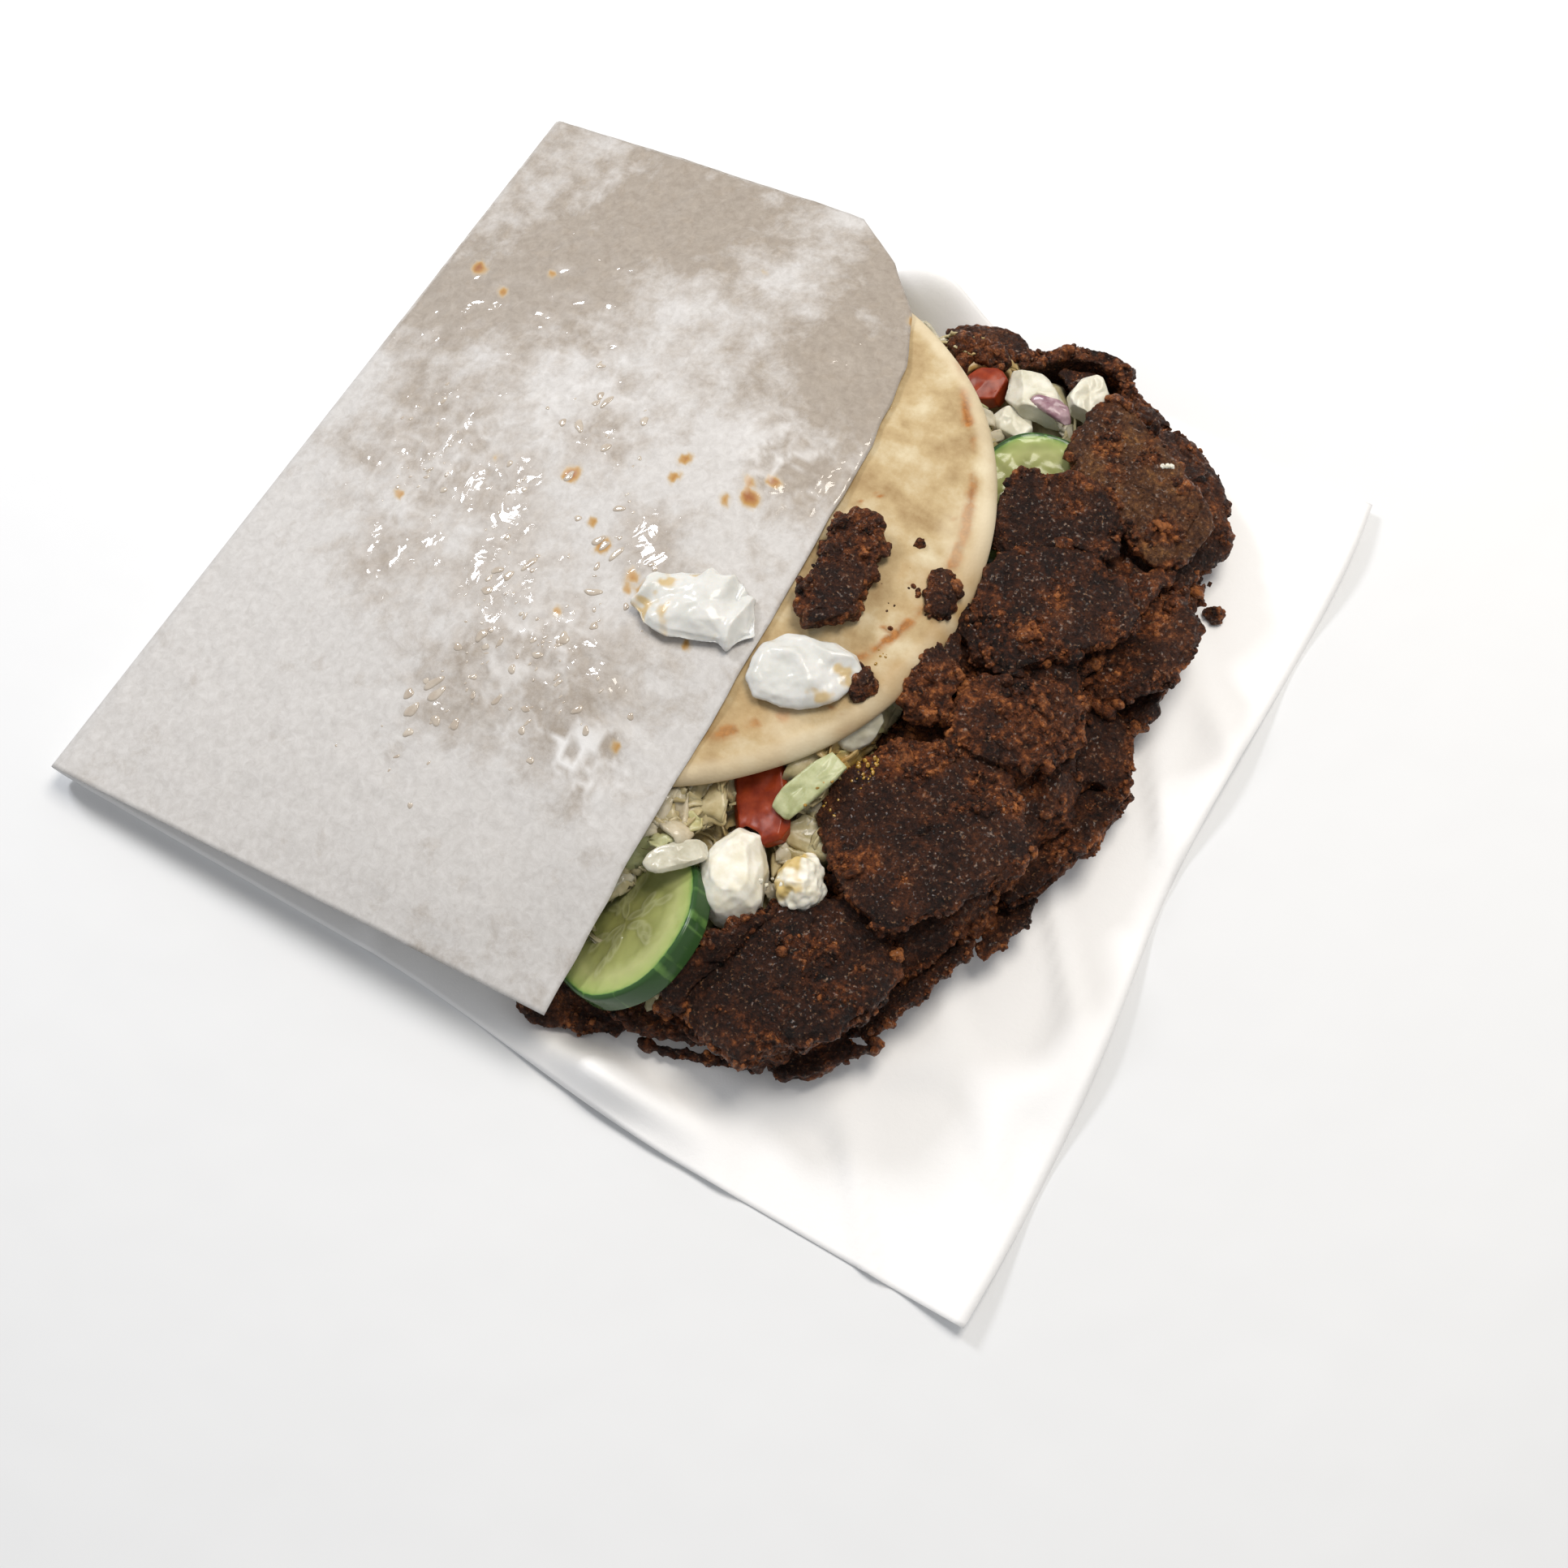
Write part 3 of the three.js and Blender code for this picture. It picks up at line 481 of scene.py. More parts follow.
# Material, darker and lighter tone, width of the cloud in mm, roughness, IOR and tone where oil lies
moistFoods = {
    "sauce": ("strainedYoghurt", "#d0d0ca", "#dddcd8", 7, 0.2, 1.35, "#c49b22"),
    "cheese": ("brinedCheese", "#e2dcc6", "#f2efe4", 5, 0.5, 1.4, "#c4a23c"),
    "tomato": ("ripeTomato", "#78260f", "#993c1a", 4, 0.34, 1.36, "#b98a2e"),
    "rib": ("icebergRib", "#c9c4ae", "#e2dfd0", 6, 0.28, 1.38, "#b98a2e"),
    # Lettuce leaves are darker and yellower than the rib: partly sauce, partly painted shade
    "lettuce": ("icebergLettuceAndShade", "#9c936d", "#c7bf9d", 6, 0.28, 1.38, "#b98a2e"),
    "greens": ("leafLettuce", "#a2a676", "#c4c79f", 6, 0.28, 1.38, "#b98a2e"),
    "onion": ("wetOnion", "#b3ae98", "#d2cebd", 6, 0.15, 1.38, "#b98a2e"),
    "redOnion": ("redOnion", "#87646e", "#b9a0a4", 4, 0.2, 1.38, "#b98a2e"),
}
for key, (name, low, high, size, rough, bend, stain) in moistFoods.items():
    surface = {"Roughness": rough, "IOR": bend, "Subsurface_Weight": 0.25}
    finishes[key] = moistFood(name, low, high, size, stain, **surface)
# Clear oil is seen as a film on wet paper, so it takes that tone; the juice on the salad is amber
oilFilm = {"Roughness": 0.05, "IOR": 1.5, "Coat_Weight": 1.0}
finishes["oil"] = moistFood("cookingOil", "#b0a292", "#c6bbac", 4, **oilFilm)
amberFilm = {"Roughness": 0.08, "IOR": 1.48, "Coat_Weight": 1.0}
finishes["amberOil"] = moistFood("amberOil", "#8a6418", "#c0963a", 2, **amberFilm)
print("finishes made:", len(finishes))

# The folded bread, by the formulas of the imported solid, in millimetres
bread = {
    "radius": 94,
    "thick": 5.5,
    "rimThick": 7,
    "height": 43,
    "endDrop": 8,
    "rimDroop": 4,
    "droopStart": 50,
    "spine": 3,
    "middle": 4,
    "floor": 1.15,
    "rings": 76,
    "sides": 400,
    "blister": 0.35,
    "rimRings": 12,  # of the rings, those that round the rim
}
# Toasted lines where the rim met the griddle: angle in degrees and how far out, as a share of the radius
toastLines = (
    ((8, 0.905), (20, 0.914), (30, 0.921), (44, 0.936), (53, 0.971), (57, 0.991)),
    ((-22, 0.83), (-10, 0.870), (2, 0.898)),
    ((-55, 0.878), (-46, 0.864), (-38, 0.872)),
)

# Oil soaked into the top, and at (51, -56) a darker patch on the bread's low part that is painted shade:
# place, width and share
breadOilAndShade = ((51, -56, 15, 0.4), (76, 6, 9, 0.6), (70, -24, 10, 0.45), (30, 20, 30, 0.12), (58, 40, 12, 0.1))


def crest(y):
    return bread["height"] - bread["endDrop"] * ((y - bread["middle"]) / bread["radius"]) ** 2


def breadTop(x, y):
    sunk = bread["rimDroop"] * (np.maximum(x - bread["droopStart"], 0) / 37) ** 2
    dents = 0.7 * np.sin(0.11 * x + 0.7) * np.sin(0.09 * y + 1.3)
    return crest(y) - sunk + dents


def foldOf(y):  # radius of the bend along the spine, half its length and the middle of its circle
    low = bread["floor"] + bread["rimThick"] / 2
    radius = (crest(y) - bread["thick"] / 2 - low) / 2
    return radius, math.pi * radius / 2, bread["spine"] + bread["thick"] / 2 + radius


# From the bread's own millimetres to the frame: the rim's furthest point and the middle are known in both
_, rimBend, rimCentre = foldOf(bread["middle"])
pitaLow, pitaHigh = (np.array(corner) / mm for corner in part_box("pita"))
shift = np.array([
    pitaHigh[0] - (rimCentre + bread["radius"] - rimBend),
    (pitaLow[1] + pitaHigh[1]) / 2 - bread["middle"],
    0.0,
])


def toFrame(points):
    return (np.asarray(points, float) + shift) * mm


def makeBread():
    rimShare = 0.93
    inner = np.linspace(0, rimShare, bread["rings"] - bread["rimRings"])[1:]
    outer = np.sin(np.linspace(0, math.pi / 2, bread["rimRings"] + 1))[1:]
    share = np.concatenate([inner, rimShare + (1 - rimShare) * outer])
    angle = np.arange(bread["sides"]) * turn / bread["sides"]
    fraction, around = np.meshgrid(share, angle, indexing="ij")
    across = bread["radius"] * fraction * np.cos(around)
    y = bread["middle"] + bread["radius"] * fraction * np.sin(around)
    half = mixed(bread["thick"], bread["rimThick"], smooth(fraction, 0.8, 0.93)) / 2
    half = half * np.sqrt(np.clip(1 - (np.maximum(fraction - 0.945, 0) / 0.0552) ** 2, 0.0004, 1))
    radius, bend, centre = foldOf(y)
    low = bread["floor"] + bread["rimThick"] / 2
    flat = np.stack([across, y], -1)
    puff = bread["blister"] * (noise(flat, 17, 1) + 0.5 * noise(flat, 7, 2) + 0.25 * noise(flat, 3, 3))
    along = np.stack([around * 20, fraction], -1)
    seam = 0.35 * hill(fraction, 0.925, 0.008) * (0.6 + 0.4 * noise(along, 3, 5))
    sheets = []
    for side in (1, -1):
        offset = side * (half + (puff * smooth(1 - fraction, 0, 0.06) - seam) * (1 if side > 0 else 0.3))
        lean = across / radius
        out = radius + offset
        bent = np.stack([centre - out * np.cos(lean), y, low + radius + out * np.sin(lean)], -1)
        x = centre + np.abs(across) - bend
        below = np.stack([x, y, low - offset], -1)
        above = np.stack([x, y, breadTop(x, y) - bread["thick"] / 2 + offset], -1)
        straight = np.where((across < 0)[..., None], below, above)
        sheets.append(np.where((np.abs(across) < bend)[..., None], bent, straight))
    middles = np.array([sheets[0][0].mean(0), sheets[1][0].mean(0)])
    points = np.concatenate([middles, *(sheet.reshape(-1, 3) for sheet in sheets)])
    piece = newPiece("folded_bread", toFrame(points), discFaces(*fraction.shape))
    # Toasted dashes along the rim, a few scorched specks, oil with painted shade at the low part, and a paler
    # rim and patches
    degrees = np.degrees((around + math.pi) % turn - math.pi)
    course = np.stack([degrees, degrees * 0], -1)
    dashes = noise(course, 3.1, 9) + 0.5 * noise(course, 1.2, 8)
    wander = 0.004 * noise(course, 2.5, 10)
    toast = np.zeros(fraction.shape)
    for line in toastLines:
        lineAngle, lineOut = np.array(line).T
        started = smooth(degrees, lineAngle[0] - 1.5, lineAngle[0] + 1)
        unfinished = smooth(-degrees, -lineAngle[-1] - 1.5, 1 - lineAngle[-1])
        middle = np.interp(degrees, lineAngle, lineOut)
        mark = hill(fraction + wander, middle, 0.013 + 0.005 * dashes)
        toast = np.maximum(toast, started * unfinished * mark * smooth(dashes, -0.7, 0.4))
    speckle = smooth(noise(flat, 2.3, 11) + 0.4 * noise(flat, 9, 12), 0.95, 1.25)
    toast = np.maximum(toast, 0.7 * speckle)
    oily = 0.75 * hill(degrees, 2, 11) * smooth(fraction, 0.86, 0.95)
    oily += 0.6 * hill(degrees, -22, 10) * smooth(fraction, 0.86, 0.94)
    topX = centre + np.abs(across) - bend
    for spotX, spotY, size, share in breadOilAndShade:
        oily = np.maximum(oily, share * hill(np.hypot(topX - spotX, y - spotY), 0, size))
    oily = oily * np.clip(0.75 + 0.6 * noise(flat, 5, 14), 0, 1.2)
    # Paler towards the outer rim, and in broad random patches
    paler = 0.55 * smooth(fraction, 0.93, 0.965) + 0.35 * smooth(noise(flat, 19, 15), 0.1, 0.6)
    for name, values in (("toast", toast), ("oily", oily), ("paler", paler)):
        paint(piece, name, np.concatenate([[0, 0], values.ravel(), values.ravel() * 0.3]))
    return dress(piece, finishes["bread"], "bread", "pita")


makeBread()
print("bread made")

# The sheet of paper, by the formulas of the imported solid, in millimetres
sheet = {
    "solid": 0.8,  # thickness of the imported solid, which the real sheet's place follows
    "thick": 0.3,
    "foldX": -130,
    "foldRadius": 5.5,
    "foldRows": 10,
    "lift": 0.5,
    "air": 0.35,
    "crestX": 12,
    "edge": ((-150, 43), (-25, 44), (40, 41), (71, 36), (90, 28), (107, 13), (121, -6)),  # y, x
    "flapLowY": -149,
    "lowY": -156,
    "highY": 121,
    "marginX": 180,
    "marginLowY": -164,
    "cell": 1.4,
    "lowerCell": 3.0,
}

# Oil lies in the paper mostly along a band over the bread's back; the patches high on the flap are partly
# painted shade: place and size of each patch
oilPatches = (
    (-90, -10, 26), (-60, -22, 24), (-40, -48, 24), (-26, -76, 24), (-8, -62, 20), (-30, 8, 18),
    (8, -72, 18), (-70, -50, 20), (24, 60, 26), (-80, 60, 30), (30, 20, 14), (0, -20, 12), (-60, 100, 30),
    (-110, 30, 24), (20, 100, 20),
)


def wetness(x, y):
    wet = 0 * x
    for spotX, spotY, size in oilPatches:
        wet = np.maximum(wet, np.exp(-(((x - spotX) / size) ** 2) - ((y - spotY) / size) ** 2))
    return wet


def crinkle(x, y, seed, wet=0):  # soft dents, pinched creases, and cockling where the paper is wet
    flat = np.stack([x, y], -1)
    dents = 0.45 * noise(flat, 30, seed)
    pinches = 0.5 * np.abs(noise(flat, 13, seed + 1)) - 0.2
    cockle = (0.12 + 0.14 * wet) * noise(flat, 5, seed + 2)
    cockle = cockle + (0.05 + 0.12 * wet) * noise(flat, 2.6, seed + 3)
    return dents - pinches * 0.7 + cockle


# Where the flap has been pinched into sharp white creases: place, reach and strength
creaseZones = (
    (15, -84, 15, 0.9), (22, 22, 16, 0.55), (-14, -66, 22, 0.5), (-75, -20, 26, 0.35), (-50, 20, 30, 0.3),
)


def creases(x, y):
    flat = np.stack([x + 3 * noise(np.stack([x, y], -1), 9, 61), y], -1)
    lines = hill(noise(flat, 7.5, 62), 0, 0.1) + 0.7 * hill(noise(flat, 4, 63), 0, 0.12)
    strength = 0 * x
    for spotX, spotY, size, share in creaseZones:
        strength = np.maximum(strength, share * hill(np.hypot(x - spotX, y - spotY), 0, size))
    return np.clip(lines, 0, 1) * strength


def flapHeight(x, y):
    start = breadTop(np.maximum(x, sheet["crestX"]), y) + sheet["lift"] + sheet["air"] + sheet["solid"] / 2
    fall = np.clip((sheet["crestX"] - x) / (sheet["crestX"] - sheet["foldX"] - sheet["foldRadius"]), 0, 1)
    return mixed(start, 2 * sheet["foldRadius"] + sheet["solid"] / 2, fall**1.2)


def flapTop(x, y):  # the flap's upper face, with its creases
    return flapHeight(x, y) + crinkle(x, y, 21, wetness(x, y)) + 0.4 * creases(x, y) + sheet["thick"] / 2


def lowerHeight(x, y):
    highCurl = 22 * smooth(y, 101, sheet["highY"]) * hill(x, 22, 20)
    lowCurl = 11 * hill(y, -154, 5.5) * hill(x, 62, 22)
    wave = 2.2 * smooth(x, 158, sheet["marginX"]) * (1 + np.sin(0.07 * y + 0.6))
    return sheet["solid"] / 2 + highCurl + lowCurl + wave


# Amber spots on the flap: place and size
stainSpots = (
    (-113.7, 52.8, 3.2), (-35.8, -8, 3.2), (-12.8, -26, 2.6), (-83.8, -33.8, 1.8), (-5.3, 9.7, 2.1),
    (18.4, 5.5, 3.2), (13, 2.3, 2.2), (-4.9, 2.7, 1.7), (26, -42.6, 1.7), (5.4, -32, 2.2), (30, 88, 2.4),
    (-22, 85, 1.3), (2, -35, 1.5), (9, -30, 1.6), (24, -77, 1.3), (-100, 47, 2.0), (-88, 58, 1.6),
    (2, -31, 2.4), (5, -34, 1.8), (-14, -50, 1.5), (-62, -12, 1.8), (-20, -20, 1.6), (22, 14, 2.6),
    (16, 10, 1.8),
)


def makeSheet():
    columns = int((sheet["highY"] - sheet["lowY"]) / sheet["cell"])
    share = np.linspace(0, 1, columns)[None, :]
    flapRows = int((max(x for _, x in sheet["edge"]) - sheet["foldX"]) / sheet["cell"])
    back = np.linspace(0, 1, flapRows)[:, None]
    y = mixed(mixed(sheet["flapLowY"], sheet["lowY"], back), sheet["highY"], share)
    edgeY, edgeX = np.array(sheet["edge"]).T
    edge = np.interp(y, edgeY, edgeX) + 0.5 * noise(np.stack([y, y * 0], -1), 9, 31) * (1 - back)
    x = mixed(edge, sheet["foldX"] + sheet["foldRadius"], back)
    flap = np.stack([x, y, flapTop(x, y) - sheet["thick"] / 2], -1)
    angle = (np.arange(sheet["foldRows"]) + 0.5)[:, None] * math.pi / sheet["foldRows"]
    y = mixed(sheet["lowY"], sheet["highY"], share) + 0 * angle
    x = sheet["foldX"] + sheet["foldRadius"] * (1 - np.sin(angle)) + 0 * y
    z = sheet["solid"] / 2 + sheet["foldRadius"] * (1 + np.cos(angle)) + 0 * y
    fold = np.stack([x, y, z], -1)
    lowerRows = int((sheet["marginX"] - sheet["foldX"]) / sheet["lowerCell"])
    forth = np.linspace(0, 1, lowerRows)[:, None]
    margin = sheet["marginX"] + 2.5 * np.sin(9 * share)
    x = mixed(sheet["foldX"] + sheet["foldRadius"], margin, forth)
    y = mixed(mixed(sheet["lowY"], sheet["marginLowY"], smooth(x, -20, 95)), sheet["highY"], share)
    wrinkle = 0.22 * crinkle(x, y, 41)
    free = np.clip(smooth(x, 105, 140) + smooth(-y, 118, 140), 0, 1)
    flatPlace = np.stack([0.8 * x + 0.6 * y, (0.8 * y - 0.6 * x) / 2.2], -1)
    free = free * smooth(sheet["marginX"] - x, 0, 12)
    folds = 2.0 * smooth(-np.abs(noise(flatPlace, 34, 44)), -0.3, 0) * free
    lower = np.stack([x, y, lowerHeight(x, y) + np.clip(wrinkle, -0.24, 0.25) + folds], -1)
    middle = np.concatenate([flap, fold, lower])
    piece = sheetPiece("folded_paper", toFrame(middle), sheet["thick"] * mm)
    flat = middle[..., :2]
    oily = wetness(flat[..., 0], flat[..., 1])
    rows = np.arange(middle.shape[0])[:, None]
    onFlap = (rows < flapRows + sheet["foldRows"] // 2) * np.ones(middle.shape[:2])
    speck = 0.5 * noise(flat, 16, 51) + 0.5 * noise(flat, 6, 52)
    # A broad darkening over the flap's upper part and left side, carried by the oil share, is painted shade
    broad = 0.1 + 0.24 * smooth(flat[..., 1], 10, 60) + 0.1 * smooth(flat[..., 0], -20, 25)
    broad = broad + 0.1 * smooth(-flat[..., 0], 40, 90) * smooth(flat[..., 1], -60, -10)
    oily = np.clip(0.5 * oily + 0.22 * speck + broad, 0, 1) * onFlap
    stain = np.zeros(middle.shape[:2])
    for spotX, spotY, size in stainSpots:
        far = np.hypot(flat[..., 0] - spotX, flat[..., 1] - spotY) + 1.3 * noise(flat, 2.4, 53)
        stain = np.maximum(stain, (0.3 + 0.22 * size) * smooth(-far, -size * 1.25, 0))
    pinched = creases(flat[..., 0], flat[..., 1]) * onFlap
    # Marks the lower sheet to be painted near white, lighter than the flap's dry paper, which carries painted
    # shade
    fields = {"oily": oily, "cleanAndLit": 1 - onFlap, "stain": stain * onFlap, "crease": pinched}
    for name, values in fields.items():
        paint(piece, name, np.concatenate([values.ravel(), values.ravel()]))
    return dress(piece, finishes["paper"], "paper", "paper")


makeSheet()
print("sheet made")

sheetTop = 1.0  # mm, just over the sheet that the food lies on

# The meat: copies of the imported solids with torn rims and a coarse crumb, in millimetres
meat = {
    "voxel": 0.45,
    "soften": 7,
    "swell": 0.25,
    "lump": (5.5, 1.15),  # width and height of the lumps that fat and gristle leave
    "crumb": (2.2, 1.2),
    "grain": (1.05, 0.42),
    "tear": (4.6, 1.8),  # how far the rims are torn in and out
    "patch": 9,  # width of the crumbled patches on the faces
    "raggedTear": 2.3,  # on the torn strip that lies on the bread
}
# Slices that the griddle seared darker: middle in the frame, width and how much
searedZones = ((77, -82, 26, 0.15), (80, 33, 24, 0.18), (69, 63, 16, 0.06), (70, -22, 12, 0.08))

# Where the pile is crumbled into lumps, and where whole slices lie flat (below 0)
raggedZones = (
    (92, 2, 20, 1.0), (70, -2, 15, 0.9), (100, 28, 14, 0.8), (60, -8, 10, 0.8),
    (84, -42, 26, -0.5), (78, -86, 24, -0.3), (69, 62, 16, -0.4),
)


def zoned(where, zones):  # the zones' shares, added up
    total = 0.0
    for x, y, width, share in zones:
        total = total + share * hill(np.hypot(where[:, 0] - x, where[:, 1] - y), 0, width)
    return total


# How far each point of meat stands out, and its tone: darker in the pits and lighter on the grains, partly
# painted shade and light
def meatRelief(where, loose):
    crumb = grains(where, meat["crumb"][0], 3)
    grain = grains(where, meat["grain"][0], 5)
    height = meat["swell"] + meat["lump"][1] * (0.4 + 0.6 * loose) * layered(where, meat["lump"][0], 2, 6)
    height = height + loose * (meat["crumb"][1] * (crumb - 0.5) + meat["grain"][1] * (grain - 0.4))
    flat = 1 - loose
    height = height + flat * 0.7 * (grains(where, 1.7, 9) - 0.45)
    cracks = smooth(-np.abs(noise(where, 8, 10)), -0.09, 0)
    height = height - flat * 1.1 * cracks * smooth(noise(where, 11, 12), -0.2, 0.4)
    toneAndShade = 0.5 + loose * (0.55 * (crumb - 0.5) + 0.35 * (grain - 0.45)) + 0.12 * noise(where, 2.6, 7)
    return height, toneAndShade


def makeMeat(node, finish, voxel, soften):
    piece = softCopy(node, voxel, soften)
    packed = pointsOf(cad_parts[node].data)
    thin = np.linalg.eigh(np.cov((packed - packed.mean(0)).T))[1][:, 0]
    rim = smooth(1 - np.abs(normalsOf(piece.data) @ thin), 0.25, 0.7)
    where = pointsOf(piece.data) / mm
    rough = zoned(where, raggedZones)
    patch = smooth(noise(where, meat["patch"], 21) + 0.5 * noise(where, 3.5, 22) + 0.6 * rough, -0.1, 0.55)
    loose = np.clip(rim + 0.9 * patch, 0, 1)
    height, toneAndShade = meatRelief(where, loose)
    size, far = meat["tear"]
    if node == "meat_on_pita":
        far = meat["raggedTear"]
    torn = noise(where, size, 23) + 0.5 * noise(where, size / 2, 24) + 0.6 * noise(where, size * 2.3, 25)
    lumps = 1.1 * np.maximum(rough, 0) * loose * (2 * grains(where, 4.2, 27) - 0.75)
    push(piece, height + lumps + far * rim * np.minimum(torn, 0.75))
    # Raised lumps are painted lighter, as painted light
    toneAndShade = toneAndShade + 0.16 * lumps
    keepBetween(piece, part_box(node)[0][2])
    paint(piece, "loose", loose)
    dark = 0.05 * noise(where, 26, 33) + zoned(where, searedZones)
    paint(piece, "toneAndShade", toneAndShade - dark)
    return dress(piece, finishes[finish], "meat", node)


meatNodes = sorted(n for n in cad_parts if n.startswith(("meat_", "crumb_")))
meatPieces = []
for node in meatNodes:
    small = node.startswith("crumb_")
    voxel = 0.4 if small else (0.8 if node == "meat_bed" else meat["voxel"])
    finish = "paleMeat" if node == "meat_03" else "meat"
    meatPieces.append(makeMeat(node, finish, voxel, 2 if small else meat["soften"]))
print("meat made:", len(meatPieces), "pieces", sum(len(p.data.polygons) for p in meatPieces), "faces")


# A rough ball of radius 1, as points and faces
def roundLump(rng, level, rough):
    shape = bmesh.new()
    bmesh.ops.create_icosphere(shape, subdivisions=level, radius=1)
    points = np.array([vertex.co for vertex in shape.verts])
    faces = np.array([[vertex.index for vertex in face.verts] for face in shape.faces])
    shape.free()
    dents = layered(points, 0.9, 2, int(rng.integers(1000)))
    return points * (1 + rough * dents)[:, None], faces


# Joins turned, stretched copies of a few lumps into one piece: one for each spot
def scatterLumps(name, kinds, spots, sizes, sink, rng):
    points = []
    faces = []
    count = 0
    for (spot, normal), size in zip(spots, sizes):
        shape, sides = kinds[rng.integers(len(kinds))]
        stretch = size * np.array([1, rng.uniform(0.7, 1), rng.uniform(0.55, 0.9)])
        spin = rotation(*rng.uniform(0, turn, 3))
        points.append((shape * stretch) @ spin.T * mm + spot - normal * sink * size * mm)
        faces.append(sides + count)
        count += len(shape)
    return newPiece(name, np.concatenate(points), np.concatenate(faces))


def rotation(roll, pitch, yaw):  # about X, then Y, then Z
    cx, sx, cy, sy, cz, sz = (f(a) for a in (roll, pitch, yaw) for f in (math.cos, math.sin))
    aboutX = np.array([[1, 0, 0], [0, cx, -sx], [0, sx, cx]])
    aboutY = np.array([[cy, 0, sy], [0, 1, 0], [-sy, 0, cy]])
    aboutZ = np.array([[cz, -sz, 0], [sz, cz, 0], [0, 0, 1]])
    return aboutZ @ aboutY @ aboutX


# Points spread over a mesh by area, with the face's normal and the vertex values there
def spread(piece, count, rng, name=None):
    mesh = piece.data
    mesh.calc_loop_triangles()
    corners = np.empty(len(mesh.loop_triangles) * 3, np.int32)
    mesh.loop_triangles.foreach_get("vertices", corners)
    corners = corners.reshape(-1, 3)
    a, b, c = pointsOf(mesh)[corners].transpose(1, 0, 2)
    cross = np.cross(b - a, c - a)
    area = np.linalg.norm(cross, axis=1)
    chosen = rng.choice(len(area), count, p=area / area.sum())
    s, t = rng.random((2, count, 1))
    s, t = np.where(s + t > 1, 1 - s, s), np.where(s + t > 1, 1 - t, t)
    points = a[chosen] + s * (b - a)[chosen] + t * (c - a)[chosen]
    values = np.zeros(len(mesh.vertices))
    if name:
        mesh.attributes[name].data.foreach_get("value", values)
    return points, cross[chosen] / area[chosen][:, None], values[corners[chosen, 0]]


# Crumbled bits that cling to the torn parts, and the finest crumb over everything
meatBits = {
    "meat_clumps": {
        "count": 420, "level": 3, "rough": 0.55, "size": (1.4, 3.4), "loose": 0.8, "sink": 0.45, "seed": 11,
    },
    "meat_bits": {
        "count": 560, "level": 3, "rough": 0.5, "size": (0.8, 1.9), "loose": 0.6, "sink": 0.2, "seed": 12,
    },
    "meat_grains": {
        "count": 2200, "level": 2, "rough": 0.4, "size": (0.5, 1.1), "loose": 0.45, "sink": 0.1, "seed": 14,
    },
    "meat_crumbs": {
        "count": 8000, "level": 1, "rough": 0.3, "size": (0.2, 0.6), "loose": 0.2, "sink": 0.0, "seed": 13,
    },
}


def makeBits(name, kind):
    rng = np.random.default_rng(kind["seed"])
    kinds = [roundLump(rng, kind["level"], kind["rough"]) for _ in range(10)]
    areas = np.array([len(p.data.polygons) for p in meatPieces], float)
    areas *= [2.0 if p.name.startswith("meat_bed") else 1.0 for p in meatPieces]
    spots = []
    for piece, many in zip(meatPieces, np.round(kind["count"] * areas / areas.sum()).astype(int)):
        points, normals, loose = spread(piece, int(many) * 8, rng, "loose")
        cluster = noise(points / mm, 6, 31) > -0.1
        good = (normals[:, 2] > -0.1) & (loose > kind["loose"]) & (points[:, 2] > 1.5 * mm) & cluster
        spots += list(zip(points[good][:many], normals[good][:many]))
    low, high = kind["size"]
    sizes = low + (high - low) * rng.random(len(spots)) ** 1.8
    piece = scatterLumps(name, kinds, spots, sizes, kind["sink"], rng)
    where = pointsOf(piece.data) / mm
    each = len(kinds[0][0])
    height, toneAndShade = meatRelief(where, np.ones(len(where)))
    if kind["level"] > 1:
        push(piece, 0.6 * (height - meat["swell"]))
    keepBetween(piece, sheetTop * mm)
    paint(piece, "toneAndShade", toneAndShade + np.repeat(rng.uniform(-0.2, 0.28, len(spots)), each))
    paint(piece, "loose", np.repeat(rng.uniform(0.5, 1, len(spots)), each))
    return dress(piece, finishes["meat"], "meat")


for name, kind in meatBits.items():
    makeBits(name, kind)
print("meat crumbs made")

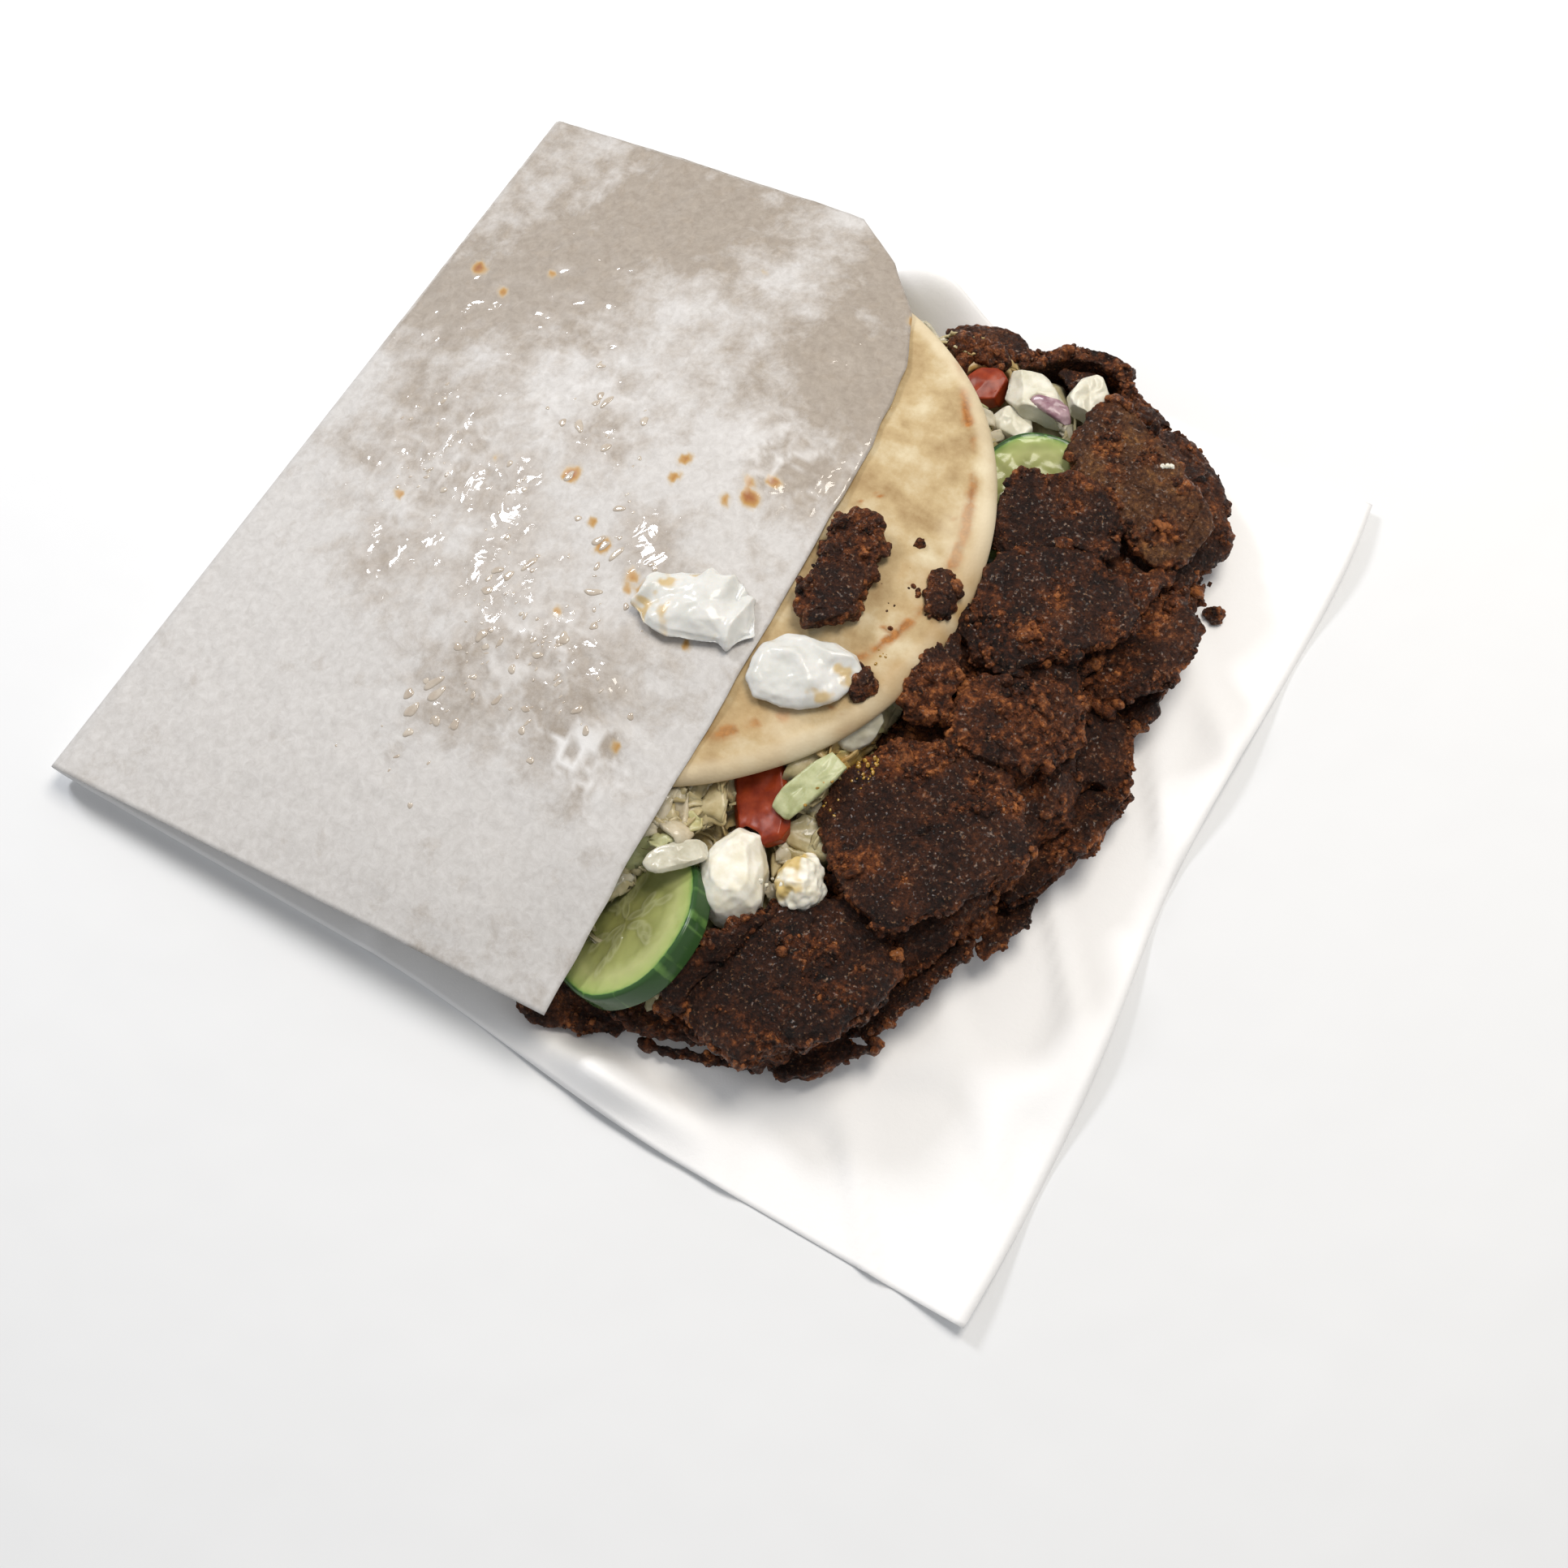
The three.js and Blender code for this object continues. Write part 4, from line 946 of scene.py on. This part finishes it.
# Sauce, cheese, tomato, lettuce and onion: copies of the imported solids, smoothed and given their own relief
tomatoPiece = {"finish": "tomato", "slot": "tomato", "lump": (12, 0.3), "fine": (3, 0.1), "flats": (6, 0.22)}
onionPiece = {"finish": "onion", "slot": "onion", "lump": (8, 0.4), "fine": (3, 0.08), "flats": (5, 0.16)}
thickRib = {
    "finish": "rib", "slot": "lettuce", "lump": (10, 0.7), "fine": (3, 0.2), "ridged": True,
    "soften": 1, "flats": (14, 0.34),
}
softParts = {
    "tzatziki_on_paper": {
        "finish": "sauce", "slot": "sauce", "lump": (7.5, 2.3), "fine": (2.8, 0.2), "ridged": True,
        "drawn": (1.0, 0.45), "blunt": 0.09, "oil": 0.3, "oilSide": (-0.9, -0.4),
    },
    "tzatziki_on_pita": {
        "finish": "sauce", "slot": "sauce", "lump": (8, 2.0), "fine": (2.8, 0.2), "ridged": True,
        "drawn": (0.5, 1.0), "blunt": 0.05, "oil": 0.3, "oilSide": (0.9, -0.2),
    },
    "feta_1": {
        "finish": "cheese", "slot": "cheese", "lump": (9, 0.8), "fine": (3.2, 0.3), "ridged": True,
        "soften": 2, "flats": (6, 0.16),
    },
    "feta_2": {
        "finish": "cheese", "slot": "cheese", "lump": (6, 0.9), "fine": (2.2, 0.6), "ridged": True,
        "soften": 2, "flats": (8, 0.2), "oil": 1.2, "oilSide": (-1, 0.1),
    },
    "tomato_1": tomatoPiece,
    "tomato_2": tomatoPiece,
    "lettuce_strip": {
        "finish": "greens", "slot": "greens", "lump": (7, 0.25), "fine": (2.5, 0.12),
        "soften": 1, "flats": (5, 0.12),
    },
    "lettuce_chunk_1": thickRib,
    "lettuce_chunk_2": {
        "finish": "rib", "slot": "lettuce", "lump": (7, 0.3), "fine": (3, 0.12),
        "soften": 1, "flats": (9, 0.24),
    },
    "lettuce_chunk_3": thickRib,
    "onion_1": onionPiece,
    "onion_2": onionPiece,
    "red_onion": {
        "finish": "redOnion", "slot": "red_onion", "lump": (8, 0.3), "fine": (3, 0.08), "flats": (5, 0.2),
    },
}


# Slices flats off a piece, from above and from the sides, as a knife or a break leaves them
def cutFlats(points, many, depth, seed):
    rng = np.random.default_rng(seed)
    middle = points.mean(0)
    for _ in range(many):
        lean = rng.normal(size=3) * (1, 1, 0.8)
        lean[2] = abs(lean[2]) - 0.2
        lean /= np.linalg.norm(lean)
        out = (points - middle) @ lean
        limit = out.max() * (1 - depth * rng.uniform(0.4, 1))
        points = points - np.maximum(out - limit, 0)[:, None] * lean
    return points


def makeSoft(node, part, seed):
    piece = softCopy(node, 0.4, part.get("soften", 4))
    if "flats" in part:
        setPoints(piece.data, cutFlats(pointsOf(piece.data), *part["flats"], seed))
    where = pointsOf(piece.data) / mm
    (size, high), (fineSize, fineHigh) = part["lump"], part["fine"]
    broad = noise(where, size, seed)
    if part.get("ridged"):  # pinched crests between hollows, as sauce and crumbled cheese keep them
        drift = 0.3 * size * np.stack([noise(where, size, seed + k) for k in (11, 12, 13)], -1)
        pulled = (where + drift) * (*part.get("drawn", (1, 1)), 1)
        blunt = part.get("blunt", 0.02)
        broad = 0.9 - 2.0 * np.sqrt(noise(pulled, size, seed) ** 2 + blunt**2)
    push(piece, 0.1 + high * 0.7 * broad + fineHigh * layered(where, fineSize, 2, seed + 1))
    oil = part.get("oil", 0)
    if oil:
        drift = noise(where, 5, seed + 5) + 0.5 * noise(where, 1.8, seed + 6)
        side = (where - where.mean(0)) @ np.array([*part["oilSide"], 0]) / np.ptp(where[:, 0])
        reach = drift - 0.3 * broad + 1.8 * side
        paint(piece, "oily", (0.55 + 0.2 * oil) * smooth(reach, 1.0 - oil, 1.6 - oil))
    return dress(piece, finishes[part["finish"]], part["slot"], node)


softPieces = {node: makeSoft(node, part, 60 + 3 * k) for k, (node, part) in enumerate(softParts.items())}
print("soft toppings made:", len(softPieces))

# Slices of cucumber: a disc with a skin, and a seed core that stands out wet
cucumbers = {
    "cucumber_1": {
        "at": (50.5, -115.5, 20.5), "turns": (0, -38, 0), "long": 49, "wide": 49, "thick": 7.5, "wet": 0.18,
        "seed": 4,
    },
    "cucumber_2": {
        "at": (90, 55, 23.5), "turns": (17, 0, 29), "long": 45, "wide": 46, "thick": 6.5, "wet": 0.5,
        "seed": 9,
    },
}
cutDisc = {"rings": 44, "rimRings": 6, "sides": 180, "rimStart": 0.96}
seeds = {"lobes": 3, "rows": 4, "long": 2.9, "wide": 1.2, "gelLong": 4.2, "gelWide": 2.4}


def makeCucumber(node, part):
    start = cutDisc["rimStart"]
    inner = np.linspace(0.012, start, cutDisc["rings"] - cutDisc["rimRings"])
    outer = start + (1 - start) * np.sin(np.linspace(0, math.pi / 2, cutDisc["rimRings"] + 1))[1:]
    angle = np.arange(cutDisc["sides"]) * turn / cutDisc["sides"]
    fraction, around = np.meshgrid(np.concatenate([inner, outer]), angle, indexing="ij")
    wobble = 1 + 0.012 * np.sin(3 * around + part["seed"]) + 0.006 * np.sin(8 * around)
    u = fraction * np.cos(around) * wobble * part["long"] / 2
    v = fraction * np.sin(around) * wobble * part["wide"] / 2
    flat = np.stack([u, v], -1)
    seed = np.zeros(fraction.shape)
    gel = np.zeros(fraction.shape)
    rng = np.random.default_rng(part["seed"])
    for lobe, row, pair in np.ndindex(seeds["lobes"], seeds["rows"], 2):
        lean = lobe * turn / seeds["lobes"] + (2 * pair - 1) * (0.3 + 0.07 * row) + 0.13 * rng.normal() + 0.3
        far = (0.22 + 0.1 * row + 0.04 * rng.normal()) * part["long"] / 2
        aim = lean + 0.35 * rng.normal()
        spot = flat - far * np.array([math.cos(lean), math.sin(lean)])
        along = spot @ np.array([math.cos(aim), math.sin(aim)])
        beside = spot @ np.array([-math.sin(aim), math.cos(aim)])
        inside = (along / seeds["long"]) ** 2 + (beside / seeds["wide"]) ** 2
        seed = np.maximum(seed, hill(inside, 0.9, 0.45) + 0.35 * smooth(-inside, -1, -0.4))
        gel = np.maximum(gel, np.exp(-((along / seeds["gelLong"]) ** 2) - (beside / seeds["gelWide"]) ** 2))
    core = smooth(-fraction, -0.62, -0.5)
    relief = 0.15 * seed - 0.3 * core + part["wet"] * noise(flat, 3, part["seed"])
    relief = relief + 0.08 * noise(flat, 1.4, part["seed"] + 1)
    bulge = np.sqrt(np.clip(1 - (np.maximum(fraction - start, 0) / 0.0402) ** 2, 0.0, 1))
    half = part["thick"] / 2
    points = [np.array([[0, 0, half], [0, 0, -half]])]
    for side in (1, -1):
        face = np.where(fraction > start, half * mixed(0.72, 1, bulge), half)
        height = side * (face + relief * (fraction < 0.95))
        points.append(np.stack([u, v, height], -1).reshape(-1, 3))
    roll, pitch, yaw = (math.radians(a) for a in part["turns"])
    turned = np.concatenate(points) @ rotation(roll, pitch, yaw).T + np.array(part["at"])
    piece = newPiece(node + "_fine", toFrame(turned), discFaces(*fraction.shape))
    streak = smooth(noise(np.stack([around, 0 * around], -1), 0.06, 3), -0.7, 1)
    ring = np.where(fraction > 0.955, 1.0 - 0.08 * streak, fraction * 0.9)
    for name, values in (("ring", ring), ("seed", 0.2 * seed), ("gel", 0.75 * gel)):
        paint(piece, name, np.concatenate([[0, 0], values.ravel(), values.ravel()]))
    return dress(piece, finishes["cucumber"], "cucumber", node)


for node, part in cucumbers.items():
    makeCucumber(node, part)
print("cucumber made")

# Oil and juice gather where the salad meets the meat: middle in the frame, width and share
oilyZones = ((58, -24, 14, 0.9), (35, -62, 22, 0.3), (46, 85, 18, 0.2), (28, 118, 12, 0.7))


def oiliness(where):
    wet = 0.0
    for x, y, width, share in oilyZones:
        wet = np.maximum(wet, share * hill(np.hypot(where[:, 0] - x, where[:, 1] - y), 0, width))
    return wet * (0.8 + 0.5 * layered(where, 5, 2, 85))


# The salad: a softened core under leaves of lettuce and strips of onion that hug it
salad = softCopy("salad", 1.0, 8)
where = pointsOf(salad.data) / mm
push(salad, 0.7 * noise(where, 8, 80) + 0.3 * noise(where, 4, 81) - 0.3)
paint(salad, "oily", oiliness(where))
dress(salad, finishes["lettuce"], "lettuce", "salad")
saladParts = {
    "lettuce_leaves": {
        "count": 150, "long": (13, 30), "wide": (7, 14), "thick": 0.7, "lift": (0.3, 2.2), "curl": 0.24,
        "finish": "lettuce", "seed": 7,
    },
    "green_leaves": {
        "count": 20, "long": (11, 22), "wide": (5, 9), "thick": 0.6, "lift": (1.2, 2.6), "curl": 0.3,
        "finish": "greens", "seed": 8,
    },
    "onion_strips": {
        "count": 46, "long": (9, 20), "wide": (3, 6), "thick": 1.3, "lift": (1.2, 2.8), "curl": 0.2,
        "finish": "onion", "seed": 9,
    },
}
leafGrid = {"columns": 8, "rows": 16}
saladTree = BVHTree.FromPolygons(*joined([salad]))
others = [node for name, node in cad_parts.items() if name != "salad"]
aroundTree = BVHTree.FromPolygons(*joined(others))


# One wavy strip that follows the core's surface at a small height above it
def leafOn(spot, normal, kind, rng):
    side = np.cross(normal, rng.normal(size=3))
    side /= np.linalg.norm(side)
    ahead = np.cross(side, normal)
    length = rng.uniform(*kind["long"]) * mm
    width = rng.uniform(*kind["wide"]) * mm
    lift = rng.uniform(*kind["lift"]) * mm
    bend = rng.normal(0, 0.3)
    tilt = rng.uniform(-0.3, 0.3)
    wave = rng.uniform(0, turn, 4)
    columns = np.linspace(-0.5, 0.5, leafGrid["columns"])
    rows = []
    for s in np.linspace(-0.5, 0.5, leafGrid["rows"]):
        course = spot + ahead * s * length + side * length * bend * s * s
        near, up, _, _ = saladTree.find_nearest(Vector(course))
        up = np.array(up) * 0.5 + normal * 0.5
        up /= np.linalg.norm(up)
        base = np.array(near) + up * (lift + 0.6 * mm * math.sin(6 * s + wave[0]))
        across = side - up * (side @ up)
        across /= np.linalg.norm(across) + 1e-9
        edge = 0.5 * width * (1 - (2 * s) ** 6) ** 0.25 * (1 + 0.12 * math.sin(11 * s + wave[1]))
        ruffle = kind["curl"] * width * (2 * columns) ** 2 * math.sin(5 * s + wave[2])
        height = ruffle * 0.5 + tilt * width * columns + 0.25 * mm * np.sin(14 * s + 9 * columns + wave[3])
        rows.append(base + across * (2 * edge * columns)[:, None] + up * height[:, None])
    return np.array(rows)


def makeLeaves(name, kind):
    rng = np.random.default_rng(kind["seed"])
    spots, normals, _ = spread(salad, 4000, rng)
    points = []
    faces = []
    count = 0
    made = 0
    for spot, normal in zip(spots, normals):
        if made == kind["count"]:
            break
        underMeat = spot[1] > 0.108 and normal[2] > 0.3  # shreds of meat lie over this end
        if normal[2] < -0.3 or spot[2] < 4 * mm or underMeat:
            continue
        covered = aroundTree.ray_cast(Vector(spot + normal * 0.5 * mm), Vector(normal), 6 * mm)[0]
        if covered is not None:
            continue
        made += 1
        leaf = sheetPiece("leaf", leafOn(spot, normal, kind, rng), kind["thick"] * mm)
        points.append(pointsOf(leaf.data))
        faces.append(np.array([polygon.vertices for polygon in leaf.data.polygons]) + count)
        count += len(points[-1])
        bpy.data.meshes.remove(leaf.data)
    piece = newPiece(name, np.concatenate(points), np.concatenate(faces))
    keepBetween(piece, sheetTop * mm)
    paint(piece, "oily", oiliness(pointsOf(piece.data) / mm))
    return dress(piece, finishes[kind["finish"]], kind["finish"])


for name, kind in saladParts.items():
    makeLeaves(name, kind)
print("salad made")

# Small things on top: crumbs and spice on the bread, shreds of meat and crumbs of cheese, amber juice.
# Each group has its middle in the frame, its reach, how many and how large
smallThings = {
    "meat_specks": {
        "finish": "meat", "slot": "meat", "level": 3, "rough": 0.5, "seed": 41,
        "groups": (
            (42.7, 38.9, 0.2, 1, (2.0, 2.1)), (45, 29, 7, 9, (0.2, 0.45)), (50, 18, 6, 8, (0.2, 0.5)),
            (28, 119, 4, 26, (1.6, 3.2)), (17, 120, 4, 46, (1.8, 3.4)), (40, 122, 3, 10, (1.2, 2.4)),
            (62, -20, 3, 6, (0.5, 1.2)),
        ),
    },
    "cheese_crumbs": {
        "finish": "cheese", "slot": "cheese", "level": 3, "rough": 0.4, "seed": 42,
        "groups": ((94, 103, 1.2, 4, (0.7, 1.3)), (53, -66, 4, 10, (0.5, 1.3))),
    },
    "amber_drops": {
        "finish": "amberOil", "slot": "sauce", "level": 3, "rough": 0.3, "seed": 43,
        "groups": ((62, -26, 4, 26, (0.3, 0.9)), (55, -40, 4, 14, (0.3, 0.7)), (51, 3, 3, 7, (0.3, 0.6))),
    },
}
packedTree = BVHTree.FromPolygons(*joined(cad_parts.values()))


def makeSmall(name, kind):
    rng = np.random.default_rng(kind["seed"])
    kinds = [roundLump(rng, kind["level"], kind["rough"]) for _ in range(8)]
    spots = []
    sizes = []
    for x, y, reach, many, (low, high) in kind["groups"]:
        for _ in range(many):
            above = Vector((x + reach * rng.normal() * 0.7, y + reach * rng.normal() * 0.7, 90)) * mm
            place, normal, _, _ = packedTree.ray_cast(above, Vector((0, 0, -1)))
            if place is not None and place.z > 5 * mm:
                spots.append((np.array(place), np.array(normal)))
                sizes.append(rng.uniform(low, high))
    piece = scatterLumps(name, kinds, spots, sizes, 0.1, rng)
    if kind["finish"] == "meat":
        height, toneAndShade = meatRelief(pointsOf(piece.data) / mm, 1.0)
        push(piece, 0.4 * (height - meat["swell"]))
        paint(piece, "toneAndShade", toneAndShade)
        paint(piece, "loose", np.ones(len(toneAndShade)))
    return dress(piece, finishes[kind["finish"]], kind["slot"])


for name, kind in smallThings.items():
    makeSmall(name, kind)
print("small toppings made")

# Drops and films of oil that stand on the flap
drops = {
    "seed": 5, "size": (0.3, 1.3), "stretch": (1, 2.2), "dome": 0.3, "highest": 0.4, "sunk": 0.12,
    "rings": 4, "sides": 20,
}
dropPlaces = (  # middle in design millimetres, scatter and how many
    (-98, -2, 7, 8), (-80, -20, 8, 14), (-86, -28, 6, 6), (-48, -26, 10, 12), (-32, -52, 11, 24),
    (-24, -74, 12, 24), (-9, -62, 10, 20), (-5, -46, 10, 12), (-4, -78, 10, 12), (10, -68, 9, 8),
    (-32, 6, 12, 10), (-50, 22, 12, 8), (-16, -22, 10, 14), (-36, -94, 14, 10), (-24, -108, 10, 4),
    (12, -30, 5, 4),
)


def makeDrops():
    rng = np.random.default_rng(drops["seed"])
    rings, sides = drops["rings"], drops["sides"]
    allPoints = []
    allFaces = []
    count = 0
    for middleX, middleY, scatter, many in dropPlaces:
        for _ in range(many):
            x0 = middleX + scatter * rng.normal() * 0.6
            y0 = middleY + scatter * rng.normal() * 0.8
            size = drops["size"][0] + drops["size"][1] * rng.random() ** 3
            long = size * rng.uniform(*drops["stretch"])
            lean = rng.normal(1.2, 0.5)
            waves = rng.uniform(0, turn, 3)
            angle = np.arange(sides) * turn / sides
            jag = 1 + 0.16 * np.sin(2 * angle + waves[0]) + 0.1 * np.sin(3 * angle + waves[1])
            fraction = np.linspace(0, 1, rings + 1)[1:, None]
            u = fraction * np.cos(angle) * jag * long
            v = fraction * np.sin(angle) * jag * size
            x = x0 + u * math.cos(lean) - v * math.sin(lean)
            y = y0 + u * math.sin(lean) + v * math.cos(lean)
            dome = np.sqrt(np.clip(1 - fraction**2, 0, 1)) + 0 * u
            high = min(drops["highest"], drops["dome"] * size) * dome
            top = np.stack([x, y, flapTop(x, y) + high], -1).reshape(-1, 3)
            below = np.stack([x, y, flapTop(x, y) - drops["sunk"]], -1)[-1]
            ground = flapTop(np.array(x0), np.array(y0))
            middles = np.array([[x0, y0, ground + high.max()], [x0, y0, ground - drops["sunk"]]])
            allPoints.append(np.concatenate([middles, top, below]))
            index = count + 2 + np.arange((rings + 1) * sides).reshape(rings + 1, sides)
            ahead = np.roll(index, -1, axis=1)
            allFaces += np.stack([index[:-1], index[1:], ahead[1:], ahead[:-1]], -1).reshape(-1, 4).tolist()
            allFaces += [[count, a, b] for a, b in zip(index[0], ahead[0])]
            allFaces += [[count + 1, b, a] for a, b in zip(index[-1], ahead[-1])]
            count += 2 + (rings + 1) * sides
    piece = newPiece("oil_drops", toFrame(np.concatenate(allPoints)), allFaces)
    return dress(piece, finishes["oil"], "sauce")


makeDrops()
print("oil made")

# Floor and light
floorPlane = newPiece("floor", [(-3, -3, 0), (3, -3, 0), (3, 3, 0), (-3, 3, 0)], [(0, 1, 2, 3)])
floorPlane.location.z = -0.0002
floorPlane.data.materials.append(moistFood("paleFloor", "#e6e7e8", "#e8e9ea", 400, Roughness=0.8))
daylight = {"colour": "#f6f8fb", "strength": 0.485}
world = bpy.data.worlds.new("studio")
scene.world = world
world.use_nodes = True
sky = world.node_tree.nodes["Background"]
sky.inputs["Color"].default_value = hexColour(daylight["colour"])
sky.inputs["Strength"].default_value = daylight["strength"]
softBoxes = {
    "keyLight": {"place": (0.12, 0.38, 0.95), "size": 0.42, "watts": 6.8, "colour": "#fff8ee"},
    "glintLight": {"place": (-0.8, 0.28, 0.76), "size": 0.22, "watts": 5.0, "colour": "#f8faff"},
}
for name, box in softBoxes.items():
    light = bpy.data.lights.new(name, "AREA")
    light.size = box["size"]
    light.energy = box["watts"]
    light.color = hexColour(box["colour"])[:3]
    lamp = bpy.data.objects.new(name, light)
    scene.collection.objects.link(lamp)
    lamp.location = box["place"]
    lamp.rotation_euler = (-Vector(box["place"])).to_track_quat("-Z", "Y").to_euler()
print("stage made")
